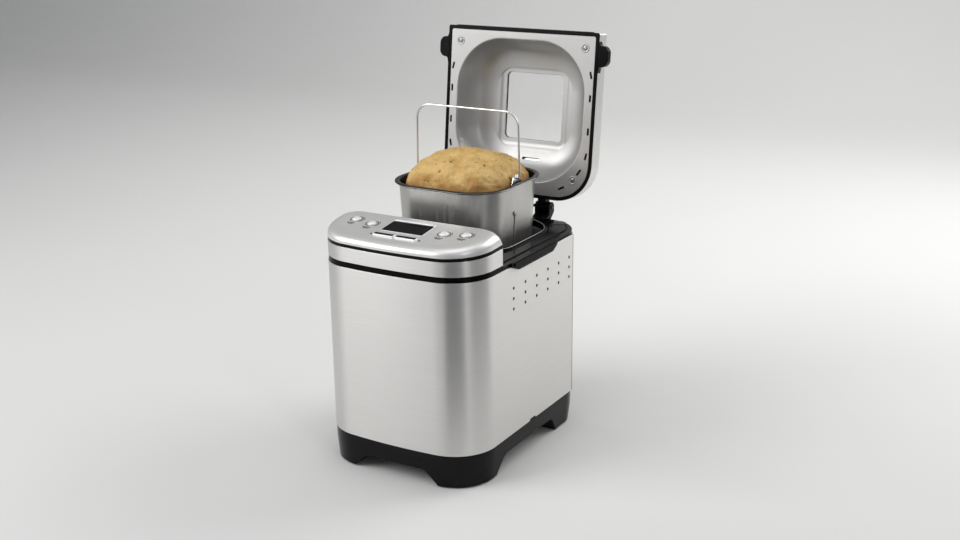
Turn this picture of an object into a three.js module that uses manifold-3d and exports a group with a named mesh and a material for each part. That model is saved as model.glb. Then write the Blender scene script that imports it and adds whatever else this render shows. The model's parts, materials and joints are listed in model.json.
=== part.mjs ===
// Compact upright bread machine: a steel-wrapped cabinet on a black plinth, a sloping control
// head, a domed lid with a window, and a lift-out baking pan driven by a belt from below.
// Millimetres, +Z up, front facing -Y, +X to the right seen from the front.
import * as THREE from 'three';
import { mergeVertices } from 'three/addons/utils/BufferGeometryUtils.js';
import Module from 'manifold-3d';

const wasm = await Module();
wasm.setup();

// ---- driving dimensions -------------------------------------------------------------------
const GAP = 0.3;                // clearance kept between neighbouring parts
const HALF_W = 130;             // half the cabinet's width
const FRONT_Y = -150.6;         // foremost point of the bowed front
const WRAP_REAR_Y = 150.6;      // rear edge of the steel wrap
const REAR_Y = 193;             // back of the rear housing and the deck
const BOW_R = 842;              // radius of the bowed front
const CORNER_R = 63.7;          // front corner radius
const REAR_R = 58;              // rear corner radius
const PLINTH_TOP = 49.9;
const WRAP_TOP = 300;
const DECK_TOP = 307.8;
const SHEET = 1.2;              // steel sheet thickness
const ARC_STEPS = 6;            // steps on each large corner arc

const OVEN_Y = 65;              // axis of the oven, the pan and the drive
const OVEN_HALF_X = 97;
const OVEN_HALF_Y = 99;
const OVEN_R = 60;
const OVEN_FLOOR = 117.2;

const PAN_LIFT = 102;           // how far the pan stands above its seat
const PAN_BASE = 140;           // underside of the seated pan
const PAN_RIM = 290;            // rim height of the seated pan
const HANDLE_PIVOT_Z = 296;     // bail pivot height with the pan seated
const HANDLE_HALF_X = 86.6;
const HANDLE_REACH = 95;        // pivot to the bail's crossbar
const HANDLE_WIRE_R = 1.5;

const HEAD_REAR_Y = -59.8;      // rear wall of the control head
const PANEL_REAR_Z = 356.5;     // panel height at its rear edge
const PANEL_SLOPE = 0.135;      // rise of the panel per unit depth
const PANEL_ANGLE = Math.atan(PANEL_SLOPE);

const HINGE_Y = 211;
const HINGE_Z = 319;
const LID_OPEN = THREE.MathUtils.degToRad(96.5);
const LID_FRONT_Y = -58;
const LID_REAR_Y = 198;
const LID_BOTTOM = 308.6;
const PLATE_Z = 309.6;          // visible face of the lid's inner plate, lid closed
const WINDOW_Z = 361;           // level of the window opening, lid closed
const WINDOW_Y = 63;
const RECESS_Y = 66;

const BELT_Z = 74;              // mid height of the drive belt
const MOTOR_X = -45;
const MOTOR_Y = -92;
const CHASSIS_Z = 86;

// ---- materials ----------------------------------------------------------------------------
const finish = (color, roughness, metalness) => ({ color, roughness, metalness });
const GLOSS_BLACK = finish(0x0b0b0c, 0.22, 0);
const MATTE_BLACK = finish(0x161617, 0.55, 0);
const BRUSHED_STEEL = finish(0xc9c8c5, 0.34, 1);
const SATIN_SILVER = finish(0xc4c3c1, 0.4, 0.6);
const BARE_STEEL = finish(0xa8a9ab, 0.35, 1);
const ALUMINIUM = finish(0x8f8d88, 0.45, 0.9);
const CHROME = finish(0xd8d8d8, 0.15, 1);
const RUBBER = finish(0x1a1a1a, 0.9, 0);
const CIRCUIT = finish(0x1f5a34, 0.6, 0);
const CLEAR = finish(0xdfe8ea, 0.05, 0);

// ---- solids -------------------------------------------------------------------------------
function weld(geometry) {
  const bare = geometry.clone();
  bare.deleteAttribute('normal');
  bare.deleteAttribute('uv');
  return mergeVertices(bare, 1e-4);
}

function toSolid(geometry) {
  const merged = weld(geometry);
  const vertProperties = new Float32Array(merged.attributes.position.array);
  const triVerts = new Uint32Array(merged.index.array);
  return new wasm.Manifold(new wasm.Mesh({ numProp: 3, vertProperties, triVerts }));
}

function fromSolid(solid) {
  const mesh = solid.getMesh();
  const geometry = new THREE.BufferGeometry();
  geometry.setAttribute('position', new THREE.BufferAttribute(new Float32Array(mesh.vertProperties), 3));
  geometry.setIndex(new THREE.BufferAttribute(new Uint32Array(mesh.triVerts), 1));
  return geometry;
}

function join(...geometries) {
  return fromSolid(geometries.map(toSolid).reduce((whole, next) => whole.add(next)));
}

function cut(base, ...tools) {
  return fromSolid(tools.map(toSolid).reduce((rest, tool) => rest.subtract(tool), toSolid(base)));
}

function block(x0, x1, y0, y1, z0, z1) {
  return new THREE.BoxGeometry(x1 - x0, y1 - y0, z1 - z0)
    .translate((x0 + x1) / 2, (y0 + y1) / 2, (z0 + z1) / 2);
}

// Upright cylinder.
function rod(x, y, radius, z0, z1, sides = 20) {
  return new THREE.CylinderGeometry(radius, radius, z1 - z0, sides)
    .rotateX(Math.PI / 2).translate(x, y, (z0 + z1) / 2);
}

// Cylinder along X.
function rodX(x0, x1, y, z, radius, sides = 20) {
  return new THREE.CylinderGeometry(radius, radius, x1 - x0, sides)
    .rotateZ(Math.PI / 2).translate((x0 + x1) / 2, y, z);
}

// Cylinder along Y.
function rodY(y0, y1, x, z, radius, sides = 20) {
  return new THREE.CylinderGeometry(radius, radius, y1 - y0, sides).translate(x, (y0 + y1) / 2, z);
}

// Turned part about an upright axis; the profile is a list of [radius, height].
function turned(profile, x = 0, y = 0, sides = 18) {
  const points = profile.map(([radius, height]) => new THREE.Vector2(radius, height));
  return weld(new THREE.LatheGeometry(points, sides).rotateX(Math.PI / 2).translate(x, y, 0));
}

function toShape(points, holes = []) {
  const shape = new THREE.Shape(points);
  holes.forEach((hole) => shape.holes.push(new THREE.Path(hole)));
  return shape;
}

// Upright prism on a plan outline.
function prism(points, z0, z1, holes = []) {
  const shape = toShape(points, holes);
  return new THREE.ExtrudeGeometry(shape, { depth: z1 - z0, bevelEnabled: false, steps: 1 })
    .translate(0, 0, z0);
}

// Prism along X on a side outline of [y, z] points.
function prismX(points, x0, x1) {
  const axes = new THREE.Matrix4().makeBasis(
    new THREE.Vector3(0, 1, 0), new THREE.Vector3(0, 0, 1), new THREE.Vector3(1, 0, 0));
  const shape = new THREE.Shape(points.map(([y, z]) => new THREE.Vector2(y, z)));
  return new THREE.ExtrudeGeometry(shape, { depth: x1 - x0, bevelEnabled: false, steps: 1 })
    .applyMatrix4(axes).translate(x0, 0, 0);
}

// Prism along Y on a front outline of [x, z] points.
function prismY(points, y0, y1) {
  const axes = new THREE.Matrix4().makeBasis(
    new THREE.Vector3(1, 0, 0), new THREE.Vector3(0, 0, 1), new THREE.Vector3(0, -1, 0));
  const shape = new THREE.Shape(points.map(([x, z]) => new THREE.Vector2(x, z)));
  return new THREE.ExtrudeGeometry(shape, { depth: y1 - y0, bevelEnabled: false, steps: 1 })
    .applyMatrix4(axes).translate(0, y1, 0);
}

// Skin through rings that hold the same number of points. An open stack is capped at both
// ends; a looped one joins its last ring to its first.
function loft(rings, looped = false) {
  const count = rings[0].length;
  const positions = rings.flat().flatMap((p) => [p.x, p.y, p.z]);
  const index = [];
  const spans = looped ? rings.length : rings.length - 1;
  for (let k = 0; k < spans; k += 1) {
    const low = k * count;
    const high = ((k + 1) % rings.length) * count;
    for (let i = 0; i < count; i += 1) {
      const j = (i + 1) % count;
      index.push(low + i, low + j, high + j, low + i, high + j, high + i);
    }
  }
  if (!looped) {
    const cap = (ring) => THREE.ShapeUtils.triangulateShape(ring.map((p) => new THREE.Vector2(p.x, p.y)), []);
    const last = (rings.length - 1) * count;
    cap(rings[0]).forEach(([a, b, c]) => index.push(c, b, a));
    cap(rings.at(-1)).forEach(([a, b, c]) => index.push(last + a, last + b, last + c));
  }
  const geometry = new THREE.BufferGeometry();
  geometry.setAttribute('position', new THREE.Float32BufferAttribute(positions, 3));
  geometry.setIndex(index);
  return geometry;
}

// Lifts a plan outline to a height, which may vary with depth.
function ring(outline, height) {
  const heightAt = typeof height === 'function' ? height : () => height;
  return outline.map((p) => new THREE.Vector3(p.x, p.y, heightAt(p.y)));
}

// Sweeps a round section along a path.
function tube(path, radius, steps, sides = 6) {
  const section = new THREE.Shape();
  section.absarc(0, 0, radius, 0, Math.PI * 2);
  return new THREE.ExtrudeGeometry(section, { extrudePath: path, steps, curveSegments: sides / 2 });
}

// Line from start to end through corners, each given as [point, reach of its bend].
function bentPath(start, corners, end) {
  const path = new THREE.CurvePath();
  let here = start;
  corners.forEach(([corner, reach], i) => {
    const next = i + 1 < corners.length ? corners[i + 1][0] : end;
    const enter = corner.clone().addScaledVector(here.clone().sub(corner).normalize(), reach);
    const leave = corner.clone().addScaledVector(next.clone().sub(corner).normalize(), reach);
    path.add(new THREE.LineCurve3(here, enter));
    path.add(new THREE.QuadraticBezierCurve3(enter, corner, leave));
    here = leave;
  });
  path.add(new THREE.LineCurve3(here, end));
  return path;
}

// ---- plan outlines, all counter-clockwise ---------------------------------------------------
function arc(x, y, radius, from, to, steps = ARC_STEPS) {
  const points = [];
  for (let i = 0; i <= steps; i += 1) {
    const angle = THREE.MathUtils.degToRad(from + ((to - from) * i) / steps);
    points.push(new THREE.Vector2(x + radius * Math.cos(angle), y + radius * Math.sin(angle)));
  }
  return points;
}

// Rectangle with one radius for its two front corners and one for its two rear corners.
function roundedRect(x0, x1, y0, y1, frontR, rearR = frontR, steps = ARC_STEPS) {
  return [
    ...arc(x0 + frontR, y0 + frontR, frontR, 180, 270, steps),
    ...arc(x1 - frontR, y0 + frontR, frontR, 270, 360, steps),
    ...arc(x1 - rearR, y1 - rearR, rearR, 0, 90, steps),
    ...arc(x0 + rearR, y1 - rearR, rearR, 90, 180, steps),
  ];
}

// Rounded rectangle about the oven axis.
function ovenRect(halfX, halfY, radius) {
  return roundedRect(-halfX, halfX, OVEN_Y - halfY, OVEN_Y + halfY, radius);
}

// The bowed front with its corners, from the left side round to the right side.
function frontArcs(inset) {
  const cornerX = HALF_W - CORNER_R;
  const bowY = FRONT_Y + BOW_R;
  const cornerY = bowY - Math.sqrt((BOW_R - CORNER_R) ** 2 - cornerX ** 2);
  const swing = THREE.MathUtils.radToDeg(Math.asin(cornerX / (BOW_R - CORNER_R)));
  return [
    ...arc(-cornerX, cornerY, CORNER_R - inset, 180, 270 - swing),
    ...arc(0, bowY, BOW_R - inset, 270 - swing, 270 + swing, 8).slice(1, -1),
    ...arc(cornerX, cornerY, CORNER_R - inset, 270 + swing, 360),
  ];
}

function bodyOutline(inset) {
  return [
    ...frontArcs(inset),
    ...arc(HALF_W - REAR_R, REAR_Y - REAR_R, REAR_R - inset, 0, 90),
    ...arc(REAR_R - HALF_W, REAR_Y - REAR_R, REAR_R - inset, 90, 180),
  ];
}

// Front outline closed by a straight rear edge.
function headOutline(inset, rearY) {
  const halfWidth = HALF_W - inset;
  return [...frontArcs(inset), new THREE.Vector2(halfWidth, rearY), new THREE.Vector2(-halfWidth, rearY)];
}

// Sheet bent round the front, open at the back.
function frontBand(outerInset, innerInset, rearY) {
  const side = (inset) => [
    new THREE.Vector2(inset - HALF_W, rearY), ...frontArcs(inset), new THREE.Vector2(HALF_W - inset, rearY)];
  return [...side(outerInset), ...side(innerInset).reverse()];
}

// Shell bent round the back, open at the front.
function rearBand(outerInset, innerInset, frontY) {
  const side = (inset) => {
    const radius = REAR_R - inset;
    const start = THREE.MathUtils.radToDeg(Math.asin((frontY - REAR_Y + REAR_R) / radius));
    return [
      ...arc(HALF_W - REAR_R, REAR_Y - REAR_R, radius, start, 90),
      ...arc(REAR_R - HALF_W, REAR_Y - REAR_R, radius, 90, 180 - start),
    ];
  };
  return [...side(outerInset), ...side(innerInset).reverse()];
}

// Window opening about its centre, slightly deeper than wide.
function windowRect(half, radius, steps = ARC_STEPS) {
  return roundedRect(-half, half, WINDOW_Y - half - 2, WINDOW_Y + half + 2, radius, radius, steps);
}

function lidOutline(inset) {
  const frontR = 3;
  return roundedRect(inset - HALF_W, HALF_W - inset, LID_FRONT_Y + inset, LID_REAR_Y - inset,
    frontR, REAR_R - inset);
}

// ---- assembly helpers -----------------------------------------------------------------------
const machine = new THREE.Group();

// Frame on the sloping panel: x across, y up the slope from its rear edge, z out of it.
const panelFrame = new THREE.Group();
panelFrame.position.set(0, HEAD_REAR_Y, PANEL_REAR_Z);
panelFrame.rotation.x = PANEL_ANGLE;
panelFrame.updateMatrix();

// The lid turns about its hinge line; its parts are drawn shut and turned open together.
const lidFrame = new THREE.Group();
lidFrame.position.set(0, HINGE_Y, HINGE_Z);
lidFrame.rotation.x = -LID_OPEN;

// The pan's parts are drawn on their seat and lifted together.
const panFrame = new THREE.Group();
panFrame.position.z = PAN_LIFT;

machine.add(panelFrame, lidFrame, panFrame);

function add(name, geometry, look, parent = machine) {
  const mesh = new THREE.Mesh(weld(geometry), new THREE.MeshStandardMaterial(look));
  mesh.name = name;
  if (parent === lidFrame) mesh.position.set(0, -HINGE_Y, -HINGE_Z);
  parent.add(mesh);
}

const SIDES = [['left', -1], ['right', 1]];

// Range of x between two distances from the middle, on one side.
const span = (side, near, far) => [Math.min(side * near, side * far), Math.max(side * near, side * far)];

// Distance down the slope from the panel's rear edge, for a depth in the machine's frame.
const onSlope = (y) => (y - HEAD_REAR_Y) / Math.cos(PANEL_ANGLE);

// ---- plinth and feet ------------------------------------------------------------------------
const FOOT_CENTRES = { front: [96, -112], rear: [109, 125] };
const FLOOR_Z = 27;
const PLINTH_BOTTOM = 1.5;

function plinth() {
  const taper = 3.3;
  const wall = 3;
  const outer = loft([
    ring(bodyOutline(taper), PLINTH_BOTTOM),
    ring(bodyOutline(1), 30),
    ring(bodyOutline(0.4), PLINTH_TOP)]);
  const room = loft([
    ring(bodyOutline(taper + wall), FLOOR_Z + wall),
    ring(bodyOutline(0.4 + wall), PLINTH_TOP + 1)]);
  const under = prism(bodyOutline(taper + 29), 0, FLOOR_Z);
  const access = block(-60, 60, -50, 110, FLOOR_Z - 1, FLOOR_Z + wall + 1);
  const sideArch = prismX([[-79, 0], [-55, FLOOR_Z], [88, FLOOR_Z], [106, 0]], -140, 140);
  const frontArch = prismY([[-71, 0], [-46, 24], [50, 24], [60, 15], [73, 0]], -170, 0);
  const rearArch = prismX([[146, 0], [158, FLOOR_Z], [200, FLOOR_Z], [200, 0]], -140, 140);
  const tabs = SIDES.map(([, side]) =>
    prismX([[10, 46], [42, 46], [32, 53], [18, 53]], ...span(side, 128, 129.4)));
  return join(cut(outer, room, under, access, sideArch, frontArch, rearArch), ...tabs);
}

add('base_plinth', plinth(), GLOSS_BLACK);

for (const [end, [x, y]] of Object.entries(FOOT_CENTRES)) {
  for (const [name, side] of SIDES) {
    const pad = turned([[0, 0], [7.2, 0], [8, 0.6], [8, PLINTH_BOTTOM - GAP], [0, PLINTH_BOTTOM - GAP]],
      side * x, y, 12);
    add(`foot_pad_${end}_${name}`, pad, RUBBER);
  }
}

function bottomPlate() {
  const plate = block(-66, 66, -53, 116, FLOOR_Z - GAP - SHEET, FLOOR_Z - GAP);
  const slots = [-40, -20, 0, 20, 40].map((x) => block(x - 2.5, x + 2.5, -35, 95, 20, 30));
  return cut(plate, ...slots);
}

add('bottom_plate', bottomPlate(), BARE_STEEL);

// ---- cabinet ----------------------------------------------------------------------------------
const VENTS = { columns: 6, rows: 3, frontY: -30.4, pitchY: 33.76, topZ: 267.8, pitchZ: 15.14, radius: 1.7 };
const REAR_SLOTS = { count: 15, pitch: 8, halfWidth: 1.7, banks: [[205, 245], [95, 125]] };
const THROUGH = 140;            // reaches past either side wall

function steelWrap() {
  const sheet = prism(frontBand(0, SHEET, WRAP_REAR_Y), PLINTH_TOP + GAP, WRAP_TOP);
  const vents = [];
  for (let column = 0; column < VENTS.columns; column += 1) {
    for (let row = 0; row < VENTS.rows; row += 1) {
      const y = VENTS.frontY + VENTS.pitchY * column;
      const z = VENTS.topZ - VENTS.pitchZ * row;
      vents.push(rodX(-THROUGH, THROUGH, y, z, VENTS.radius, 6));
    }
  }
  const notch = prismX([[9, 45], [43, 45], [32.5, 53.5], [17.5, 53.5]], -THROUGH, THROUGH);
  return cut(sheet, ...vents, notch);
}

add('steel_wrap', steelWrap(), BRUSHED_STEEL);

const GLAND = { x: -58, z: 78, hole: 7.4 };

function rearHousing() {
  const shell = prism(rearBand(0, 2.6, WRAP_REAR_Y + GAP), PLINTH_TOP + GAP, WRAP_TOP);
  const slots = [];
  for (const [foot, head] of REAR_SLOTS.banks) {
    for (let i = 0; i < REAR_SLOTS.count; i += 1) {
      const x = (i - (REAR_SLOTS.count - 1) / 2) * REAR_SLOTS.pitch;
      slots.push(block(x - REAR_SLOTS.halfWidth, x + REAR_SLOTS.halfWidth, 180, 200, foot, head));
    }
  }
  return cut(shell, ...slots, rodY(180, 200, GLAND.x, GLAND.z, GLAND.hole));
}

add('rear_housing', rearHousing(), MATTE_BLACK);

function cordGland() {
  const flange = [[7, 0.3], [10.5, 0.3], [10.5, 3.4], [7.5, 4.2]];
  const profile = [[4, -9], [7, -9], ...flange, [6, 14], [4, 14], [4, -9]];
  return turned(profile, 0, 0, 20).rotateX(-Math.PI / 2).translate(GLAND.x, REAR_Y, GLAND.z);
}

add('cord_gland', cordGland(), RUBBER);

const BOSS = { x: 93, y: 171, hole: 1.8 };

function topDeck() {
  const ledge = prism(bodyOutline(0.8), WRAP_TOP + GAP, 305.8);
  const plateau = prism(bodyOutline(9), 304, DECK_TOP);
  const headSeat = prism(headOutline(0.8, LID_FRONT_Y - 1), 304, DECK_TOP);
  const bosses = SIDES.map(([, side]) =>
    turned([[0, 305], [15, 305], [15, 307.9], [9, 308.2], [0, 308.2]], side * BOSS.x, BOSS.y, 16));
  const mouth = prism(ovenRect(OVEN_HALF_X + 2, OVEN_HALF_Y + 2, OVEN_R + 2), 299, 310);
  const pinholes = SIDES.map(([, side]) => rod(side * BOSS.x, BOSS.y, BOSS.hole, 306, 310, 10));
  const body = cut(join(ledge, plateau, headSeat, ...bosses), mouth, ...pinholes);
  return join(body, ...SIDES.flatMap(([, side]) => fingerPad(side)));
}

// Bevelled pad hanging over the wrap's top edge on each side.
function fingerPad(side) {
  const neck = prismX([[-38, WRAP_TOP + GAP], [94, WRAP_TOP + GAP], [94, 305.8], [-38, 305.8]],
    ...span(side, 125, 131));
  const pad = prismX([[-40, 300], [-19, 292], [82, 292], [96, 300], [96, 305.8], [-40, 305.8]],
    ...span(side, HALF_W + GAP, 133));
  const face = prismX([[-34, 300], [-16, 294.5], [79, 294.5], [90, 300], [90, 304], [-34, 304]],
    ...span(side, 132, 135));
  return [neck, pad, face];
}

add('top_deck', topDeck(), GLOSS_BLACK);

// ---- control head -----------------------------------------------------------------------------
const bandTop = (y) => 328.6 + 0.0396 * (y - FRONT_Y);
const panelFoot = (y) => 333.5 + 0.0496 * (y - FRONT_Y);
const panelTop = (y) => PANEL_REAR_Z + PANEL_SLOPE * (y - HEAD_REAR_Y);

function headBand() {
  const outline = frontBand(GAP, GAP + SHEET, HEAD_REAR_Y);
  return loft([ring(outline, DECK_TOP + GAP), ring(outline, bandTop)]);
}

add('head_band', headBand(), BRUSHED_STEEL);

function headFrame() {
  const behindBand = 1.8;
  const stripInset = 0.8;
  const wallInset = 4.2;
  const wallRearY = HEAD_REAR_Y - 2.5;
  return loft([
    ring(headOutline(behindBand, HEAD_REAR_Y), DECK_TOP + GAP),
    ring(headOutline(behindBand, HEAD_REAR_Y), (y) => bandTop(y) + GAP),
    ring(headOutline(stripInset, HEAD_REAR_Y), (y) => bandTop(y) + GAP),
    ring(headOutline(stripInset, HEAD_REAR_Y), (y) => panelFoot(y) - GAP),
    ring(headOutline(wallInset, wallRearY), (y) => panelFoot(y) - GAP),
    ring(headOutline(wallInset, wallRearY), DECK_TOP + 3)]);
}

add('head_frame', headFrame(), MATTE_BLACK);

// Where each control sits: x and depth in the machine's frame.
const ROUND_BUTTONS = {
  menu_button: [-90, -88], crust_button: [-59, -95], loaf_button: [59, -95], start_button: [90, -88],
};
const BAR_BUTTONS = { time_down_button: -17.9, time_up_button: 17.9 };
const BAR_HALF_X = 16.6;
const BAR_HALF_Y = 4;
const BAR_Y = -126;
const ROUND_R = 6.5;
const DISPLAY = { halfX: 30, frontY: -107, rearY: -77 };

function controlPanel() {
  const between = (share) => (y) => panelFoot(y) + share * (panelTop(y) - panelFoot(y));
  const wall = 2.3;
  const steps = [[0.3, 0], [1.5, 0.28], [4.5, 0.58], [9, 0.84], [14, 0.96], [20, 1]];
  const outside = steps.map(([inset, share]) => ring(headOutline(inset, HEAD_REAR_Y), between(share)));
  const inside = steps.map(([inset, share]) =>
    ring(headOutline(inset + wall, HEAD_REAR_Y - wall), (y) => between(share)(y) - (share > 0 ? 2.5 : 0)));
  const shell = loft([...inside.reverse(), ...outside]);
  const inPanel = (geometry) => geometry.applyMatrix4(panelFrame.matrix);
  const holes = Object.values(ROUND_BUTTONS).map(([x, y]) =>
    inPanel(rod(x, onSlope(y), ROUND_R + 0.5, -6, 6)));
  const slots = Object.values(BAR_BUTTONS).map((x) => inPanel(
    block(x - BAR_HALF_X - 0.4, x + BAR_HALF_X + 0.4, onSlope(BAR_Y) - BAR_HALF_Y - 0.4,
      onSlope(BAR_Y) + BAR_HALF_Y + 0.4, -6, 6)));
  const window = inPanel(block(-DISPLAY.halfX - 2.4, DISPLAY.halfX + 2.4, onSlope(DISPLAY.frontY) - 2.4,
    onSlope(DISPLAY.rearY) + 2.4, -6, 6));
  return cut(shell, ...holes, ...slots, window);
}

add('control_panel', controlPanel(), SATIN_SILVER);

function displayBezel() {
  const front = onSlope(DISPLAY.frontY);
  const rear = onSlope(DISPLAY.rearY);
  const grown = (by, radius) =>
    roundedRect(-DISPLAY.halfX - by, DISPLAY.halfX + by, front - by, rear + by, radius, radius, 2);
  return loft([
    ring(grown(2, 1), -2.4),
    ring(grown(2, 1), GAP),
    ring(grown(4.4, 3), GAP),
    ring(grown(3.6, 2.5), 1.5),
    ring(grown(1.2, 0.8), 1.5),
    ring(grown(0.3, 0.2), 0.9),
    ring(grown(0.3, 0.2), -2.4)], true);
}

add('display_bezel', displayBezel(), SATIN_SILVER, panelFrame);
add('display_lens',
  block(-DISPLAY.halfX, DISPLAY.halfX, onSlope(DISPLAY.frontY), onSlope(DISPLAY.rearY), -2, 0.6),
  GLOSS_BLACK, panelFrame);

const BOARD_TOP = -12;

function controlBoard() {
  const board = block(-92, 92, -74, -14, BOARD_TOP - 1.6, BOARD_TOP);
  const processor = block(-9, 9, -45, -27, BOARD_TOP - 4, BOARD_TOP - 1);
  const displayBlock = block(-27, 27, -46, -19, BOARD_TOP - 0.5, -3);
  return join(board, processor, displayBlock);
}

add('control_board', controlBoard(), CIRCUIT, panelFrame);

for (const [name, [x, y]] of Object.entries(ROUND_BUTTONS)) {
  const profile = [[0, -10.5], [2, -10.5], [2, -5.2], [8.2, -5.2], [8.2, -4], [ROUND_R, -4],
    [ROUND_R, 0.9], [ROUND_R - 0.8, 1.6], [0, 1.8]];
  add(name, turned(profile, x, onSlope(y), 14), SATIN_SILVER, panelFrame);
}

for (const [name, x] of Object.entries(BAR_BUTTONS)) {
  const y = onSlope(BAR_Y);
  const cap = block(x - BAR_HALF_X, x + BAR_HALF_X, y - BAR_HALF_Y, y + BAR_HALF_Y, -5, 1.4);
  const flange = block(x - 17.2, x + 17.2, y - 5.4, y + 5.4, -5.2, -4);
  const stem = block(x - 2, x + 2, y - 2, y + 2, -10.5, -5);
  add(name, join(cap, flange, stem), SATIN_SILVER, panelFrame);
}

// ---- oven -------------------------------------------------------------------------------------
const ELEMENT_Z = 138;
const ELEMENT_R = 3.2;
const ELEMENT_EXIT_X = 14;
const PROBE_Z = 178;

function ovenLiner() {
  const flangeTop = WRAP_TOP - GAP;
  const grown = (by) => ovenRect(OVEN_HALF_X + by, OVEN_HALF_Y + by, OVEN_R + by);
  const tub = loft([
    ring(grown(SHEET), OVEN_FLOOR - SHEET),
    ring(grown(SHEET), flangeTop - SHEET),
    ring(grown(7), flangeTop - SHEET),
    ring(grown(7), flangeTop),
    ring(grown(0), flangeTop),
    ring(grown(0), OVEN_FLOOR)]);
  const shaftHole = rod(0, OVEN_Y, 9, 110, 120);
  const frontWall = OVEN_Y - OVEN_HALF_Y;
  const terminals = SIDES.map(([, side]) =>
    rodY(frontWall - 8, frontWall + 8, side * ELEMENT_EXIT_X, ELEMENT_Z, ELEMENT_R + 0.8, 12));
  const probeHole = rodY(frontWall - 8, frontWall + 8, 0, PROBE_Z, 4.6, 12);
  return cut(tub, shaftHole, ...terminals, probeHole);
}

add('oven_liner', ovenLiner(), BARE_STEEL);

function heatingElement() {
  const halfX = 89;
  const halfY = 91;
  const front = OVEN_Y - halfY;
  const rear = OVEN_Y + halfY;
  const outside = OVEN_Y - OVEN_HALF_Y - 14;
  const cornerReach = 52;
  const exitReach = 6;
  const at = (x, y) => new THREE.Vector3(x, y, ELEMENT_Z);
  const line = bentPath(at(-ELEMENT_EXIT_X, outside), [
    [at(-ELEMENT_EXIT_X, front), exitReach],
    [at(-halfX, front), cornerReach],
    [at(-halfX, rear), cornerReach],
    [at(halfX, rear), cornerReach],
    [at(halfX, front), cornerReach],
    [at(ELEMENT_EXIT_X, front), exitReach]], at(ELEMENT_EXIT_X, outside));
  return tube(line, ELEMENT_R, 50);
}

add('heating_element', heatingElement(), BARE_STEEL);

// Sheet hook that carries the element on each side wall.
for (const [name, side] of SIDES) {
  const back = block(...span(side, 94.6, 96.6), OVEN_Y - 8, OVEN_Y + 8, 128, 150);
  const shelf = block(...span(side, 84, 95), OVEN_Y - 8, OVEN_Y + 8, 132, 134);
  const lip = block(...span(side, 83, 85), OVEN_Y - 8, OVEN_Y + 8, 132, 139);
  add(`element_clip_${name}`, join(back, shelf, lip), BARE_STEEL);
}

add('temperature_probe', join(
  rodY(OVEN_Y - OVEN_HALF_Y - 16, OVEN_Y - OVEN_HALF_Y + 6, 0, PROBE_Z, 4, 12),
  rodY(OVEN_Y - OVEN_HALF_Y - 9, OVEN_Y - OVEN_HALF_Y - 3, 0, PROBE_Z, 8, 16)), CHROME);

// Leaf spring that grips the pan's foot ring.
for (const [name, side] of SIDES) {
  const leaf = [[47, 117.6], [66, 117.6], [66, 119], [50.4, 119], [49, 130], [52, 137.4], [50.6, 138],
    [47.4, 130.4]];
  const points = leaf.map(([x, z]) => [side * x, z]);
  if (side < 0) points.reverse();
  add(`pan_clip_${name}`, prismY(points, OVEN_Y - 11, OVEN_Y + 11), BARE_STEEL);
}

// ---- drive ------------------------------------------------------------------------------------
const SHAFT_R = 4;
const BORE_R = 4.4;

function pulley(x, y, groove, flange) {
  return turned([[BORE_R, BELT_Z - 7], [flange, BELT_Z - 7], [flange, BELT_Z - 4.4], [groove, BELT_Z - 3.6],
    [groove, BELT_Z + 3.6], [flange, BELT_Z + 4.4], [flange, BELT_Z + 7], [BORE_R, BELT_Z + 7],
    [BORE_R, BELT_Z - 7]], x, y, groove > 20 ? 26 : 12);
}

const LARGE_GROOVE = 40;
const SMALL_GROOVE = 8;

add('drive_shaft', rod(0, OVEN_Y, SHAFT_R, 64, 123.5), BARE_STEEL);
add('large_pulley', pulley(0, OVEN_Y, LARGE_GROOVE, 44.5), MATTE_BLACK);
add('motor_shaft', rod(MOTOR_X, MOTOR_Y, SHAFT_R, 64, 182), BARE_STEEL);
add('motor_pulley', pulley(MOTOR_X, MOTOR_Y, SMALL_GROOVE, 12), BARE_STEEL);

// Round belt line: two arcs joined by the outer tangents of the pulleys.
function beltLine(grow) {
  const dx = MOTOR_X;
  const dy = MOTOR_Y - OVEN_Y;
  const heading = THREE.MathUtils.radToDeg(Math.atan2(dy, dx));
  const lean = THREE.MathUtils.radToDeg(Math.acos((LARGE_GROOVE - SMALL_GROOVE) / Math.hypot(dx, dy)));
  return [
    ...arc(0, OVEN_Y, LARGE_GROOVE + grow, heading + lean, heading + 360 - lean, 26),
    ...arc(MOTOR_X, MOTOR_Y, SMALL_GROOVE + grow, heading - lean, heading + lean, 10),
  ];
}

add('drive_belt', prism(beltLine(GAP + 2), BELT_Z - 3, BELT_Z + 3, [beltLine(GAP)]), RUBBER);

// Pair of coupling prongs on the given axis, one on each side of the drive axis.
function wings(axis, z0, z1) {
  const halfWidth = 3;
  return SIDES.map(([, side]) => {
    const [near, far] = span(side, 7.5, 15);
    return axis === 'x'
      ? block(near, far, OVEN_Y - halfWidth, OVEN_Y + halfWidth, z0, z1)
      : block(-halfWidth, halfWidth, OVEN_Y + near, OVEN_Y + far, z0, z1);
  });
}

add('drive_coupler', join(
  turned([[0, 123.9], [BORE_R, 123.9], [BORE_R, 118.6], [8, 118.6], [16, 122], [16, 126.6], [0, 126.6]],
    0, OVEN_Y),
  ...wings('x', 126, 134)), BARE_STEEL);

add('bearing_housing', turned([[BORE_R, CHASSIS_Z + 2.4], [21, CHASSIS_Z + 2.4], [21, 93], [12, 95],
  [12, 110], [21, 112], [21, 115.7], [BORE_R, 115.7], [BORE_R, CHASSIS_Z + 2.4]], 0, OVEN_Y), ALUMINIUM);

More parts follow.
